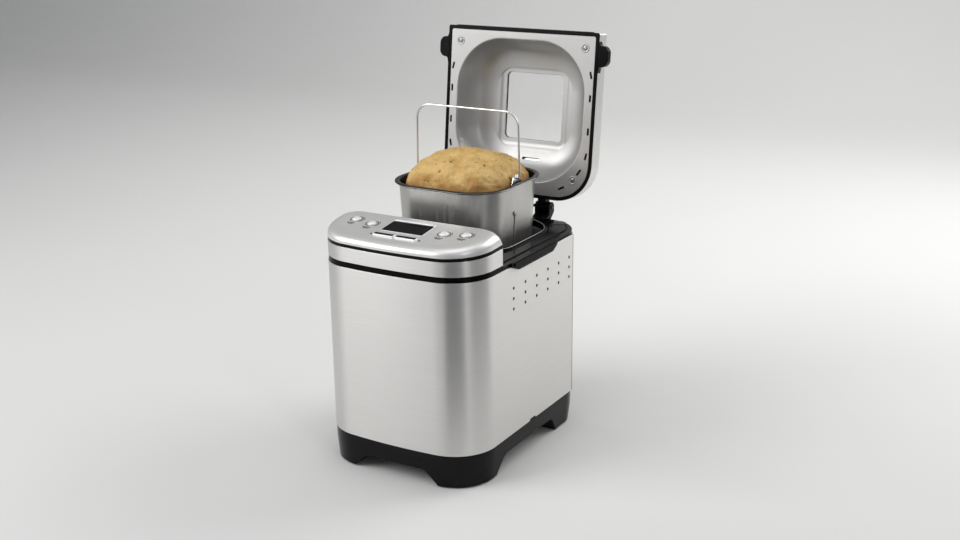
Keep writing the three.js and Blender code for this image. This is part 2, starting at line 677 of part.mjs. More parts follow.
function chassisBracket() {
  const plate = prism(roundedRect(-92, 62, -132, 116, 12, 12, 4), CHASSIS_Z, CHASSIS_Z + 2);
  const legs = [[-82, -118], [50, -118], [50, 104], [-62, 104]].map(([x, y]) =>
    block(x - 6, x + 6, y - 6, y + 6, 30.4, CHASSIS_Z + 1));
  return cut(join(plate, ...legs), rod(0, OVEN_Y, 7, 80, 90), rod(MOTOR_X, MOTOR_Y, 14, 80, 90));
}

add('chassis_bracket', chassisBracket(), BARE_STEEL);

function motorBody() {
  const core = prism(roundedRect(MOTOR_X - 37, MOTOR_X + 37, MOTOR_Y - 37, MOTOR_Y + 37, 8, 8, 4),
    CHASSIS_Z + 12, 142);
  const ends = turned([[0, CHASSIS_Z + 2.4], [24, CHASSIS_Z + 2.4], [30, CHASSIS_Z + 13], [30, 141],
    [24, 153], [0, 153]], MOTOR_X, MOTOR_Y, 24);
  return cut(join(core, ends), rod(MOTOR_X, MOTOR_Y, BORE_R, 80, 160));
}

add('motor_body', motorBody(), BARE_STEEL);

function motorFan() {
  const hub = turned([[BORE_R, 160], [9, 160], [9, 176], [BORE_R, 176], [BORE_R, 160]], MOTOR_X, MOTOR_Y, 20);
  const blades = [];
  for (let i = 0; i < 7; i += 1) {
    const blade = block(7.5, 31, -0.9, 0.9, 161, 174);
    blades.push(blade.rotateZ((i * Math.PI * 2) / 7).translate(MOTOR_X, MOTOR_Y, 0));
  }
  return join(hub, ...blades);
}

add('motor_fan', motorFan(), MATTE_BLACK);

function powerBoard() {
  const board = block(70, 71.6, -122, -48, 100, 190);
  const transformer = block(71, 92, -112, -84, 108, 134);
  const relay = block(71, 86, -76, -58, 112, 128);
  const capacitor = rodX(71, 90, -70, 160, 8, 16);
  return join(board, transformer, relay, capacitor);
}

add('power_board', powerBoard(), CIRCUIT);

// ---- hinge ------------------------------------------------------------------------------------
const PIN_R = 2.5;
const HINGE_X = 37;
const HINGE_WIDTH = 26;
const EAR = 5.4;
const LUG_SPAN = [HINGE_X + EAR + 0.6, HINGE_X + HINGE_WIDTH - EAR - 0.6];

for (const [name, side] of SIDES) {
  const outerX = HINGE_X + HINGE_WIDTH;
  const foot = prismX([[REAR_Y + GAP, 268], [202, 272], [207, 300], [207, 305], [REAR_Y + GAP, 305]],
    ...span(side, HINGE_X, outerX));
  const ear = [[REAR_Y + GAP, 300], [207, 300], [219, 311], [219, 322], [215, 327], [207, 327], [203, 322],
    [203, 309], [REAR_Y + GAP, 305]];
  const ears = [[HINGE_X, HINGE_X + EAR], [outerX - EAR, outerX]].map(
    ([near, far]) => prismX(ear, ...span(side, near, far)));
  const bore = rodX(...span(side, HINGE_X - 4, outerX + 4), HINGE_Y, HINGE_Z, PIN_R + 0.4, 16);
  add(`hinge_block_${name}`, cut(join(foot, ...ears), bore), MATTE_BLACK);
}

const PIN_END = HINGE_X + HINGE_WIDTH + 1.5;
add('hinge_pin', rodX(-PIN_END, PIN_END, HINGE_Y, HINGE_Z, PIN_R, 16), BARE_STEEL);

// ---- lid (drawn shut) ---------------------------------------------------------------------------
const GLASS_HALF = 57;
const GLASS_Z = WINDOW_Z + 1.7;

// The pillow-shaped top: half width, front depth, rear depth and height of each ring.
function lidCover() {
  const wall = SHEET;
  const level = (halfX, y0, y1, rear, z) => ring(roundedRect(-halfX, halfX, y0, y1, 3, rear), z);
  const outside = [
    [129.7, 0, 0, 311.5], [129.7, 0, 0, 334], [128, 0, 1.7, 341], [123, 0, 7, 347], [115, 0, 15, 351.5],
    [100, 0, 30, 355.5], [84, 14, 48, 360.5], [70, 38, 62, 365]];
  const shell = (grow, drop) => outside.map(([halfX, front, rear, z], i) => level(
    halfX - grow, LID_FRONT_Y + GAP + front + grow, LID_REAR_Y - GAP - rear - grow,
    Math.max(REAR_R - GAP - rear - grow, 8), i === 0 ? z : z - drop));
  const edge = (half, z) => ring(windowRect(half, 8), z);
  const plateau = 367;
  return loft([
    ...shell(0, 0), edge(60, plateau), edge(53, plateau),
    edge(53, plateau - wall), edge(60, plateau - wall), ...shell(wall, wall).reverse()], true);
}

add('lid_cover', lidCover(), BRUSHED_STEEL, lidFrame);

function lidRim() {
  const frame = prism(lidOutline(0), LID_BOTTOM, 311.2, [lidOutline(5)]);
  const ledge = prism(lidOutline(2.2), 311, 313, [lidOutline(12)]);
  const parts = [frame, ledge];
  for (const [, side] of SIDES) {
    parts.push(prismX([[193.2, LID_BOTTOM], [203, LID_BOTTOM], [206, 311], [206, 325], [198.5, 320],
      [198.5, 311.2], [193.2, 311.2]], ...span(side, ...LUG_SPAN)));
    parts.push(rodX(...span(side, ...LUG_SPAN), HINGE_Y, HINGE_Z, 7.5));
    parts.push(prism(gripOutline(side), LID_BOTTOM, 320));
  }
  return cut(join(...parts), rodX(-80, 80, HINGE_Y, HINGE_Z, PIN_R + 0.4, 16));
}

// D-shaped ear for lifting the lid, on a longer base strip.
function gripOutline(side) {
  const outer = [...arc(130, -24, 16.2, -62, 62, 8)];
  const points = [new THREE.Vector2(HALF_W, -45), new THREE.Vector2(133, -43), ...outer,
    new THREE.Vector2(133, 1), new THREE.Vector2(HALF_W, 3)];
  if (side > 0) return points;
  return points.map((p) => new THREE.Vector2(-p.x, p.y)).reverse();
}

const LID_SCREWS = { front: [108, -35], rear: [100, 164] };

function lidLiner() {
  const frontR = 3;
  const plate = (z) => ring(roundedRect(5.3 - HALF_W, HALF_W - 5.3, LID_FRONT_Y + 5.3, LID_REAR_Y - 5.3,
    frontR, REAR_R - 5.3), z);
  const recess = (inset, z) => ring(roundedRect(inset - 112, 112 - inset, RECESS_Y - 109 + inset,
    RECESS_Y + 109 - inset, Math.max(79 - inset, 20)), z);
  const window = (half, z) => ring(windowRect(half, 7), z);
  const seen = [[0, 0], [3, 6], [7, 22], [18, 38], [32, 46.5]];
  const face = seen.map(([inset, depth]) => recess(inset, PLATE_Z + depth));
  const back = seen.map(([inset, depth], i) =>
    recess(inset - SHEET, PLATE_Z + depth + (i === 0 || i > 2 ? SHEET : 0)));
  const sheet = loft([
    plate(PLATE_Z + SHEET), ...back, window(60, WINDOW_Z - 2.2), window(56, WINDOW_Z + SHEET),
    window(50, WINDOW_Z + SHEET), window(50, WINDOW_Z), window(57, WINDOW_Z), window(61, WINDOW_Z - 3.5),
    ...face.reverse(), plate(PLATE_Z)], true);
  const holes = Object.values(LID_SCREWS).flatMap(([x, y]) =>
    SIDES.map(([, side]) => rod(side * x, y, 1.9, 300, 320, 10)));
  return cut(sheet, ...holes, ...linerSlots());
}

// Short slots along both edges of the inner plate: x, depth and lean in degrees.
function linerSlots() {
  const places = [[121.5, 4.5, -14], [122.3, 39, 0], [122.3, 88.5, 0], [121, 126, 12], [111, 151, 33],
    [83, 178, 62]];
  return places.flatMap(([x, y, lean]) => SIDES.map(([, side]) =>
    block(-0.9, 0.9, -4.2, 4.2, 300, 320)
      .rotateZ(THREE.MathUtils.degToRad(side * lean)).translate(side * (x - 1.6), y, 0)));
}

add('lid_rim', lidRim(), MATTE_BLACK, lidFrame);
add('lid_liner', lidLiner(), SATIN_SILVER, lidFrame);

function windowPane(grow, z0, z1, hole) {
  const holes = hole ? [windowRect(GLASS_HALF + hole, 8, 5)] : [];
  return prism(windowRect(GLASS_HALF + grow, 8, 5), z0, z1, holes);
}

add('window_glass', windowPane(-0.4, GLASS_Z, GLASS_Z + 2.6), CLEAR, lidFrame);
add('window_gasket', windowPane(1.6, GLASS_Z - 0.2, GLASS_Z + 2.8, -0.1), RUBBER, lidFrame);

for (const [end, [x, y]] of Object.entries(LID_SCREWS)) {
  for (const [name, side] of SIDES) {
    const screw = [[0, 308.4], [2.6, 308.4], [3.7, 309.3], [1.5, 309.3], [1.5, 317], [0, 317]];
    add(`lid_screw_${end}_${name}`, turned(screw, side * x, y, 12), CHROME, lidFrame);
  }
}

// ---- pan (drawn seated) -------------------------------------------------------------------------
function breadPan() {
  const wall = (halfX, halfY, radius, z) => ring(ovenRect(halfX, halfY, radius), z);
  const tub = loft([
    wall(74, 76, 40, PAN_BASE), wall(78, 80, 44, PAN_BASE + 4), wall(85, 87, 50, PAN_RIM - 3),
    wall(88, 90, 53, PAN_RIM - 2.4), wall(91, 93, 56, PAN_RIM - 2.4), wall(91.4, 93.4, 56.4, PAN_RIM - 0.8),
    wall(90, 92, 55, PAN_RIM), wall(84.5, 86.5, 49.5, PAN_RIM), wall(83.4, 85.4, 48.4, PAN_RIM - 2),
    wall(76.4, 78.4, 42.4, PAN_BASE + 6), wall(72, 74, 38, PAN_BASE + 1.8)]);
  const footRing = turned([[40.5, 118], [44, 118], [44, PAN_BASE + 1], [40.5, PAN_BASE + 1], [40.5, 118]],
    0, OVEN_Y, 32);
  const bearing = turned([[0, PAN_BASE - 1.6], [10, PAN_BASE - 1.6], [9, PAN_BASE + 9], [0, PAN_BASE + 9]],
    0, OVEN_Y, 20);
  return cut(join(tub, footRing, bearing), rod(0, OVEN_Y, BORE_R, 130, 155));
}

add('bread_pan', breadPan(), ALUMINIUM, panFrame);

// Plate riveted inside the rim that carries the bail's end.
for (const [name, side] of SIDES) {
  const plate = prismX([[OVEN_Y - 15, 268], [OVEN_Y + 15, 268], [OVEN_Y + 15, 286], [OVEN_Y + 6, 301],
    [OVEN_Y - 6, 301], [OVEN_Y - 15, 286]], ...span(side, 80.6, 81.9));
  const rivets = [-9, 9].map((dy) => rodX(...span(side, 79.6, 81), OVEN_Y + dy, 276, 2.6, 10));
  const eye = rodX(...span(side, 78, 84), OVEN_Y, HANDLE_PIVOT_Z, 2.1, 12);
  add(`handle_bracket_${name}`, cut(join(plate, ...rivets), eye), CHROME, panFrame);
}

function panHandle() {
  const end = 78.6;
  const top = HANDLE_HALF_X - 2;
  const pivotReach = 4.5;
  const cornerReach = 24;
  const at = (x, z) => new THREE.Vector3(x, OVEN_Y, HANDLE_PIVOT_Z + z);
  const line = bentPath(at(-end, 0), [
    [at(-HANDLE_HALF_X, 0), pivotReach],
    [at(-top, HANDLE_REACH), cornerReach],
    [at(top, HANDLE_REACH), cornerReach],
    [at(HANDLE_HALF_X, 0), pivotReach]], at(end, 0));
  return tube(line, HANDLE_WIRE_R, 50);
}

add('pan_handle', panHandle(), CHROME, panFrame);

add('paddle_shaft', join(
  rod(0, OVEN_Y, SHAFT_R, 134, 172),
  turned([[0, 134], [16, 134], [16, 137.6], [0, 137.6]], 0, OVEN_Y),
  ...wings('y', 127.4, 135)), BARE_STEEL, panFrame);

function kneadingPaddle() {
  const hub = turned([[0, 151], [9.5, 151], [7.6, 176], [0, 177.5]], 0, OVEN_Y, 20);
  const blade = prismY([[2, 151], [44, 151], [46, 158], [30, 180], [8, 174]], OVEN_Y - 1.6, OVEN_Y + 1.6);
  return cut(join(hub, blade), rod(0, OVEN_Y, BORE_R, 145, 172.6));
}

add('kneading_paddle', kneadingPaddle(), MATTE_BLACK, panFrame);

// The origin is the middle of the whole machine's footprint, on the surface it stands on.
machine.updateMatrixWorld(true);
const extent = new THREE.Box3().setFromObject(machine, true);
machine.position.y = -(extent.min.y + extent.max.y) / 2;

export default machine;
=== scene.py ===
import json
import math
import random

import bmesh
import bpy
from mathutils import Matrix, Vector, noise
from mathutils.geometry import tessellate_polygon

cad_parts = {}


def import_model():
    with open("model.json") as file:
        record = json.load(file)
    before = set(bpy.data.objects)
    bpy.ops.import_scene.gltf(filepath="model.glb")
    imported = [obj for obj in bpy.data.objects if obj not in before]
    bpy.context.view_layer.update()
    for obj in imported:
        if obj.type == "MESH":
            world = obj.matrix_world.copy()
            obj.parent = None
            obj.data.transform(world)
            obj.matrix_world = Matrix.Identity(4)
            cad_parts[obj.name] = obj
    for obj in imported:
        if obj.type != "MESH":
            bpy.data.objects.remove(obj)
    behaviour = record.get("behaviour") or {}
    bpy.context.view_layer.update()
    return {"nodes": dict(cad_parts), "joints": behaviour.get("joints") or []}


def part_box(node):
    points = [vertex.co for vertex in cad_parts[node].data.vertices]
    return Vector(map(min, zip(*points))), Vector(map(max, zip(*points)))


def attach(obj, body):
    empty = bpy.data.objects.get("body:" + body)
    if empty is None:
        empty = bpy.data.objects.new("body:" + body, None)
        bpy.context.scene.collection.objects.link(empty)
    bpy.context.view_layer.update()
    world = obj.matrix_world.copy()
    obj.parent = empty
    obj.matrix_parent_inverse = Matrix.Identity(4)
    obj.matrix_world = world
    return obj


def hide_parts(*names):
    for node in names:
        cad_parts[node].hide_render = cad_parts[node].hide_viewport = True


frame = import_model()

# ---- the script's own frame: millimetres, x from the middle, y with the oven's axis at OVEN_Y ----
MM = 0.001
OVEN_Y = 65.0


def low(node):
    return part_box(node)[0] / MM


def high(node):
    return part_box(node)[1] / MM


SHIFT = (low("drive_shaft").y + high("drive_shaft").y) / 2 - OVEN_Y
JOINTS = {joint["name"]: joint for joint in frame["joints"]}
SIDES = (("left", -1), ("right", 1))
GAP = 0.3
SHEET = 1.2
ARC = 20

HALF_W = high("steel_wrap").x
PAST_SIDE = HALF_W + 10
FRONT_Y = low("steel_wrap").y - SHIFT
WRAP_REAR_Y = high("steel_wrap").y - SHIFT
WRAP_FOOT = low("steel_wrap").z
WRAP_TOP = high("steel_wrap").z
REAR_Y = high("rear_housing").y - SHIFT
PLINTH_TOP = WRAP_FOOT - GAP
PLINTH_FOOT = low("base_plinth").z
HEAD_REAR_Y = high("head_band").y - SHIFT
PANEL_REAR_Z = high("control_panel").z
PANEL_SLOPE = 0.135
BOW_R = 842.0
CORNER_R = 63.7
REAR_R = 58.0
DECK_TOP = 307.8

OVEN_HALF_X = high("oven_liner").x - 7
OVEN_HALF_Y = OVEN_HALF_X + 2
OVEN_R = 60.0
PAN_LIFT = -JOINTS["pan_lift"]["range_m"][0] / MM
PAN_BASE = 140.0
PAN_RIM = high("bread_pan").z - PAN_LIFT
PIVOT_Z = JOINTS["handle_fold"]["pos_m"][2] / MM - PAN_LIFT
LOAF_TOP = PAN_RIM + 36.5

HINGE_X = low("hinge_block_right").x
HINGE_Y = JOINTS["lid_hinge"]["pos_m"][1] / MM - SHIFT
HINGE_Z = JOINTS["lid_hinge"]["pos_m"][2] / MM
LID_OPEN = math.radians(-JOINTS["lid_hinge"]["range_deg"][0])
LID_FRONT_Y = -58.0
LID_REAR_Y = 198.0
LID_FRONT_R = 3.0
LID_FOOT = 308.6
PLATE_Z = 309.6
WINDOW_Z = 361.0
WINDOW_Y = 63.0
GLASS_Z = WINDOW_Z + 1.7
RECESS_Y = 66.0
BORE_R = 4.4
MOTOR_X = (low("motor_shaft").x + high("motor_shaft").x) / 2
MOTOR_Y = (low("motor_shaft").y + high("motor_shaft").y) / 2 - SHIFT


# ---- shapes ----
class Form:
    """Points in millimetres and the faces that join them."""

    def __init__(self, points=(), faces=()):
        self.points = [Vector(p) for p in points]
        self.faces = [tuple(f) for f in faces]

    def __add__(self, other):
        first = len(self.points)
        return Form(self.points + other.points,
                    self.faces + [tuple(i + first for i in f) for f in other.faces])

    def moved(self, matrix):
        return Form([matrix @ p for p in self.points], self.faces)

    def at(self, x=0.0, y=0.0, z=0.0):
        return self.moved(Matrix.Translation((x, y, z)))

    def mirrored(self):
        return Form([(-p.x, p.y, p.z) for p in self.points], [f[::-1] for f in self.faces])


def both_sides(form):
    return form + form.mirrored()


def arc(x, y, radius, start, end, steps=ARC):
    turns = [math.radians(start + (end - start) * k / steps) for k in range(steps + 1)]
    return [(x + radius * math.cos(t), y + radius * math.sin(t)) for t in turns]


def rounded_rect(x0, x1, y0, y1, front_r, rear_r=None, steps=ARC):
    rear_r = front_r if rear_r is None else rear_r
    return (arc(x0 + front_r, y0 + front_r, front_r, 180, 270, steps)
            + arc(x1 - front_r, y0 + front_r, front_r, 270, 360, steps)
            + arc(x1 - rear_r, y1 - rear_r, rear_r, 0, 90, steps)
            + arc(x0 + rear_r, y1 - rear_r, rear_r, 90, 180, steps))


def rect(half_x, half_y):
    return [(-half_x, -half_y), (half_x, -half_y), (half_x, half_y), (-half_x, half_y)]


def oven_rect(half_x, half_y, radius, steps=28):
    return rounded_rect(-half_x, half_x, OVEN_Y - half_y, OVEN_Y + half_y, radius, steps=steps)


def oven_line(grow):
    """Plan of the oven's tub at a distance outside it."""
    return oven_rect(OVEN_HALF_X + grow, OVEN_HALF_Y + grow, OVEN_R + grow)


def window_line(half, radius=8.0, steps=8):
    return rounded_rect(-half, half, WINDOW_Y - half - 2, WINDOW_Y + half + 2, radius, steps=steps)


def front_arcs(inset):
    """The bowed front with its corners, from the left side round to the right."""
    corner_x = HALF_W - CORNER_R
    bow_y = FRONT_Y + BOW_R
    corner_y = bow_y - math.sqrt((BOW_R - CORNER_R) ** 2 - corner_x ** 2)
    swing = math.degrees(math.asin(corner_x / (BOW_R - CORNER_R)))
    return (arc(-corner_x, corner_y, CORNER_R - inset, 180, 270 - swing)
            + arc(0, bow_y, BOW_R - inset, 270 - swing, 270 + swing, 16)[1:-1]
            + arc(corner_x, corner_y, CORNER_R - inset, 270 + swing, 360))


def rear_arcs(inset, start=0.0):
    """The two rear corners, from the right side round to the left."""
    return (arc(HALF_W - REAR_R, REAR_Y - REAR_R, REAR_R - inset, start, 90)
            + arc(REAR_R - HALF_W, REAR_Y - REAR_R, REAR_R - inset, 90, 180 - start))


def body_outline(inset):
    return front_arcs(inset) + rear_arcs(inset)


def head_outline(inset, rear_y=HEAD_REAR_Y):
    return front_arcs(inset) + [(HALF_W - inset, rear_y), (inset - HALF_W, rear_y)]


def front_band(outer, inner, rear_y):
    """Sheet bent round the front, open at the back."""
    def side(inset):
        return [(inset - HALF_W, rear_y)] + front_arcs(inset) + [(HALF_W - inset, rear_y)]
    return side(outer) + side(inner)[::-1]


def rear_band(outer, inner, front_y):
    """Shell bent round the back, open at the front."""
    def side(inset):
        return rear_arcs(inset, math.degrees(math.asin((front_y - REAR_Y + REAR_R) / (REAR_R - inset))))
    return side(outer) + side(inner)[::-1]


def lid_outline(inset):
    return rounded_rect(inset - HALF_W, HALF_W - inset, LID_FRONT_Y + inset, LID_REAR_Y - inset,
                        LID_FRONT_R, REAR_R - inset)


def neighbours(points):
    """Each point with the one before it and the one after it, going round."""
    return zip(points[-1:] + points[:-1], points, points[1:] + points[:1])


def inset_outline(points, distance):
    """The outline moved inwards by a distance, point by point."""
    area = sum(a[0] * b[1] - b[0] * a[1] for a, b in zip(points, points[1:] + points[:1]))
    sign = 1 if area > 0 else -1
    moved = []
    for before, here, after in neighbours(points):
        a = Vector((here[0] - before[0], here[1] - before[1])).normalized()
        b = Vector((after[0] - here[0], after[1] - here[1])).normalized()
        normal_a = Vector((-a.y, a.x)) * sign
        normal_b = Vector((-b.y, b.x)) * sign
        push = (normal_a + normal_b) / max(1 + normal_a.dot(normal_b), 0.3) * distance
        moved.append((here[0] + push.x, here[1] + push.y))
    return moved


def filleted(points, radius, steps=5):
    """The outline with each corner rounded as far as its edges allow."""
    rounded = []
    for before, here, after in neighbours(points):
        corner = Vector(here)
        a = Vector(before) - corner
        b = Vector(after) - corner
        reach = min(radius, a.length * 0.45, b.length * 0.45)
        start = corner + a.normalized() * reach
        end = corner + b.normalized() * reach
        for k in range(steps + 1):
            t = k / steps
            rounded.append(tuple(start * (1 - t) ** 2 + corner * 2 * t * (1 - t) + end * t ** 2))
    return rounded


def level(outline, height, base=0.0):
    """Lifts an outline to a height over a base, or to one that varies with depth."""
    height_at = height if callable(height) else lambda y: base + height
    return [(x, y, height_at(y)) for x, y in outline]


def stack(outline, profile, base=0.0):
    """Rings of one outline; each profile entry holds the outline's sizes, then its height over a base."""
    return [level(outline(*sizes), height, base) for *sizes, height in profile]


def sleeve(rings):
    """Open surface through rings of equal length."""
    count = len(rings[0])
    faces = []
    for k in range(len(rings) - 1):
        a = k * count
        b = a + count
        faces += [(a + i, a + (i + 1) % count, b + (i + 1) % count, b + i) for i in range(count)]
    return Form([p for ring in rings for p in ring], faces)


def skin(rings, looped=False):
    """Closed surface through rings: capped at both ends, or joined from its last to its first."""
    if looped:
        return sleeve(rings + rings[:1])
    form = sleeve(rings)
    count = len(rings[0])
    last = len(form.points) - count
    form.faces += [tuple(range(count))[::-1], tuple(range(last, last + count))]
    return form


AXES = {"z": lambda u, v, w: (u, v, w), "x": lambda u, v, w: (w, u, v), "y": lambda u, v, w: (u, w, v)}


def prism(outline, start, end, edge=0.4, axis="z", steps=3):
    """Prism on an outline with rounded rims; a start or end may vary with the outline's second axis."""
    start_at = start if callable(start) else lambda v: start
    end_at = end if callable(end) else lambda v: end
    turns = [math.pi / 2 * k / steps for k in range(steps + 1)] if edge else [math.pi / 2]
    shapes = [(inset_outline(outline, edge * (1 - math.sin(t))), edge * (1 - math.cos(t))) for t in turns]
    feet = [[AXES[axis](u, v, start_at(v) + rise) for u, v in shape] for shape, rise in shapes]
    heads = [[AXES[axis](u, v, end_at(v) - rise) for u, v in shape] for shape, rise in shapes]
    return skin(feet + heads[::-1])


def block(x0, x1, y0, y1, z0, z1, edge=0.3, corner=0.6):
    return prism(rounded_rect(x0, x1, y0, y1, corner, steps=4), z0, z1, edge)


def turned(profile, axis="z", steps=48, ring=False):
    """Part turned about an axis: its (radius, height) profile starts and ends there, or is a ring's."""
    turns = [2 * math.pi * k / steps for k in range(steps)]
    return skin([[AXES[axis](radius * math.cos(t), radius * math.sin(t), height) for t in turns]
                 for radius, height in profile], ring)


def bevelled(profile, radius):
    """A turned part's profile with its corners rounded, save for both ends."""
    return [profile[0]] + filleted(profile, radius, 3)[4:-4] + [profile[-1]]


def pipe(inner, outer, start, end, steps):
    """Plain ring about the upright axis."""
    return turned([(inner, start), (outer, start), (outer, end), (inner, end)], steps=steps, ring=True)


def rod(radius, start, end, axis="z", edge=0.3, steps=32):
    return turned([(0, start), (radius - edge, start), (radius, start + edge), (radius, end - edge),
                   (radius - edge, end), (0, end)], axis, steps)


def bent_line(corners, steps):
    """A line from the first corner to the last; each corner is (x, y, z, radius of its bend)."""
    points = [Vector(corner[:3]) for corner in corners]
    line = points[:1]
    for before, corner, after, (*_, radius) in zip(points, points[1:], points[2:], corners[1:]):
        a = (before - corner).normalized()
        b = (after - corner).normalized()
        half = a.angle(b) / 2
        reach = radius / math.tan(half)
        centre = corner + (a + b).normalized() * radius / math.sin(half)
        start = corner + a * reach - centre
        end = corner + b * reach - centre
        line += [centre + start.slerp(end, k / steps) * radius for k in range(steps + 1)]
    return line + points[-1:]


def tube(line, radius, sides=14, closed=False):
    """Round wire along a line of points, with domed ends."""
    count = len(line)
    turns = [2 * math.pi * k / sides for k in range(sides)]
    stops = []
    side = None
    for i, here in enumerate(line):
        before = line[i - 1] if closed or i else here
        after = line[(i + 1) % count] if closed or i < count - 1 else here
        ahead = (after - before).normalized()
        side = side - ahead * side.dot(ahead) if side else ahead.orthogonal()
        side.normalize()
        up = ahead.cross(side)
        stops.append((here, ahead, [side * math.cos(t) + up * math.sin(t) for t in turns]))

    def ring(here, ahead, spokes, along=0.0, share=1.0):
        return [here + (ahead * along + spoke * share) * radius for spoke in spokes]

    def dome(stop, direction):
        return [ring(*stop, direction * math.cos(t), math.sin(t)) for t in (0.25, 0.7, 1.15)]

    wall = [ring(*stop) for stop in stops]
    if closed:
        return skin(wall, True)
    return skin(dome(stops[0], -1) + wall + dome(stops[-1], 1)[::-1])


def plate(outer, inner, height):
    """Flat face between an outer and an inner ring, both at the given height."""
    loops = [[Vector((x, y, 0)) for x, y in outer], [Vector((x, y, 0)) for x, y in inner]]
    return Form([(p.x, p.y, height) for loop in loops for p in loop], tessellate_polygon(loops))


def carve(base, *tools):
    """The base less the tools, which don't touch each other."""
    whole = sum(tools[1:], tools[0])
    made = [bpy.data.objects.new("carving", to_mesh("carving", form, 1e-4, False)) for form in (base, whole)]
    for obj in made:
        bpy.context.scene.collection.objects.link(obj)
    modifier = made[0].modifiers.new("cut", "BOOLEAN")
    modifier.operation = "DIFFERENCE"
    modifier.object = made[1]
    modifier.solver = "EXACT"
    mesh = bpy.data.meshes.new_from_object(made[0].evaluated_get(bpy.context.evaluated_depsgraph_get()))
    result = Form([v.co.copy() for v in mesh.vertices], [tuple(p.vertices) for p in mesh.polygons])
    for obj in made:
        bpy.data.objects.remove(obj)
    return result


def to_mesh(name, form, merge, metres=True):
    """A mesh with doubled points merged and faces turned outwards, in metres in the frame or as drawn."""
    mesh = bpy.data.meshes.new(name)
    place = (lambda p: (p.x * MM, (p.y + SHIFT) * MM, p.z * MM)) if metres else tuple
    mesh.from_pydata([place(p) for p in form.points], [], form.faces)
    work = bmesh.new()
    work.from_mesh(mesh)
    bmesh.ops.remove_doubles(work, verts=work.verts, dist=merge)
    bmesh.ops.dissolve_degenerate(work, edges=work.edges, dist=merge)
    bmesh.ops.recalc_face_normals(work, faces=work.faces)
    work.to_mesh(mesh)
    work.free()
    return mesh


def soften(obj, width):
    """Rounds an object's sharp edges by a width in millimetres."""
    edge = obj.modifiers.new("edge", "BEVEL")
    edge.width = width * MM
    edge.segments = 2
    edge.limit_method = "ANGLE"
    edge.angle_limit = math.radians(40)


def piece(name, form, look, body, nodes=(), smooth=32, bevel=0.0, slot=None):
    """A finished piece of the object, riding on a body, wearing its look; its slot argument is not used."""
    mesh = to_mesh(name, form, 2e-6)
    mesh.shade_smooth()
    mesh.set_sharp_from_angle(angle=math.radians(smooth))
    mesh.materials.append(look)
    obj = bpy.data.objects.new(name, mesh)
    bpy.context.scene.collection.objects.link(obj)
    if bevel:
        soften(obj, bevel)
    weighted = obj.modifiers.new("shading", "WEIGHTED_NORMAL")
    weighted.keep_sharp = True
    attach(obj, body)
    if nodes:
        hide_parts(*nodes)
    return obj


# ---- surfaces ----
class Look:
    """A procedural material, built from the shader outwards."""

    def __init__(self, name, **sockets):
        self.material = bpy.data.materials.new(name)
        self.material.use_nodes = True
        self.nodes = self.material.node_tree.nodes
        self.links = self.material.node_tree.links
        self.shader = self.nodes["Principled BSDF"]
        self.place = self.nodes.new("ShaderNodeTexCoord").outputs["Object"]
        for socket, value in sockets.items():
            self.shader.inputs[socket.replace("_", " ")].default_value = value

    def node(self, kind, inputs=(), **settings):
        made = self.nodes.new("ShaderNode" + kind)
        for key, value in settings.items():
            setattr(made, key, value)
        for key, value in dict(inputs).items():
            if isinstance(value, bpy.types.NodeSocket):
                self.links.new(value, made.inputs[key])
            else:
                made.inputs[key].default_value = value
        return made

    def noise(self, scale, stretch=(1, 1, 1), detail=3.0, rough=0.5):
        where = self.node("Mapping", {"Vector": self.place, "Scale": stretch}).outputs["Vector"]
        return self.node("TexNoise", {"Vector": where, "Scale": scale, "Detail": detail,
                                      "Roughness": rough}).outputs["Fac"]

    def cells(self, scale, stretch=(1, 1, 1)):
        where = self.node("Mapping", {"Vector": self.place, "Scale": stretch}).outputs["Vector"]
        return self.node("TexVoronoi", {"Vector": where, "Scale": scale}).outputs["Distance"]

    def spread(self, value, low_out=0, high_out=1, low_in=0.3, high_in=0.7):
        return self.node("MapRange", {"Value": value, "From Min": low_in, "From Max": high_in,
                                      "To Min": low_out, "To Max": high_out}).outputs["Result"]

    def blend(self, share, first, second):
        return self.node("Mix", {0: share, 6: first, 7: second}, data_type="RGBA").outputs[2]

    def colour(self, socket):
        self.links.new(socket, self.shader.inputs["Base Color"])

    def roughness(self, socket):
        self.links.new(socket, self.shader.inputs["Roughness"])

    def bump(self, *heights):
        """Stacks bumps, each a (height, distance in millimetres, strength)."""
        normal = None
        for height, distance, strength in heights:
            made = self.node("Bump", {"Height": height, "Distance": distance * MM, "Strength": strength})
            if normal:
                self.links.new(normal, made.inputs["Normal"])
            normal = made.outputs["Normal"]
        self.links.new(normal, self.shader.inputs["Normal"])


def grey(value, tint=(1, 1, 1)):
    return (value * tint[0], value * tint[1], value * tint[2], 1)


WARM = (1.0, 0.985, 0.965)


def brushed_steel(name, stretch, turned_grain):
    look = Look(name, Metallic=1.0)
    fine = look.noise(1.0, stretch, 4, 0.65)
    broad = look.noise(9, (1, 1, 1), 2)
    streaks = look.blend(look.spread(fine), grey(0.68, WARM), grey(0.77, WARM))
    look.colour(look.blend(look.spread(broad, 0, 0.35, 0.35, 0.65), streaks, grey(0.7, WARM)))
    look.roughness(look.spread(fine, 0.34, 0.44))
    look.bump((fine, 0.015, 0.14))
    if turned_grain:
        look.shader.inputs["Anisotropic"].default_value = 0.75
        look.shader.inputs["Anisotropic Rotation"].default_value = 0.25
        tangent = look.node("Tangent", direction_type="RADIAL", axis="Z").outputs["Tangent"]
        look.links.new(tangent, look.shader.inputs["Tangent"])
    return look.material


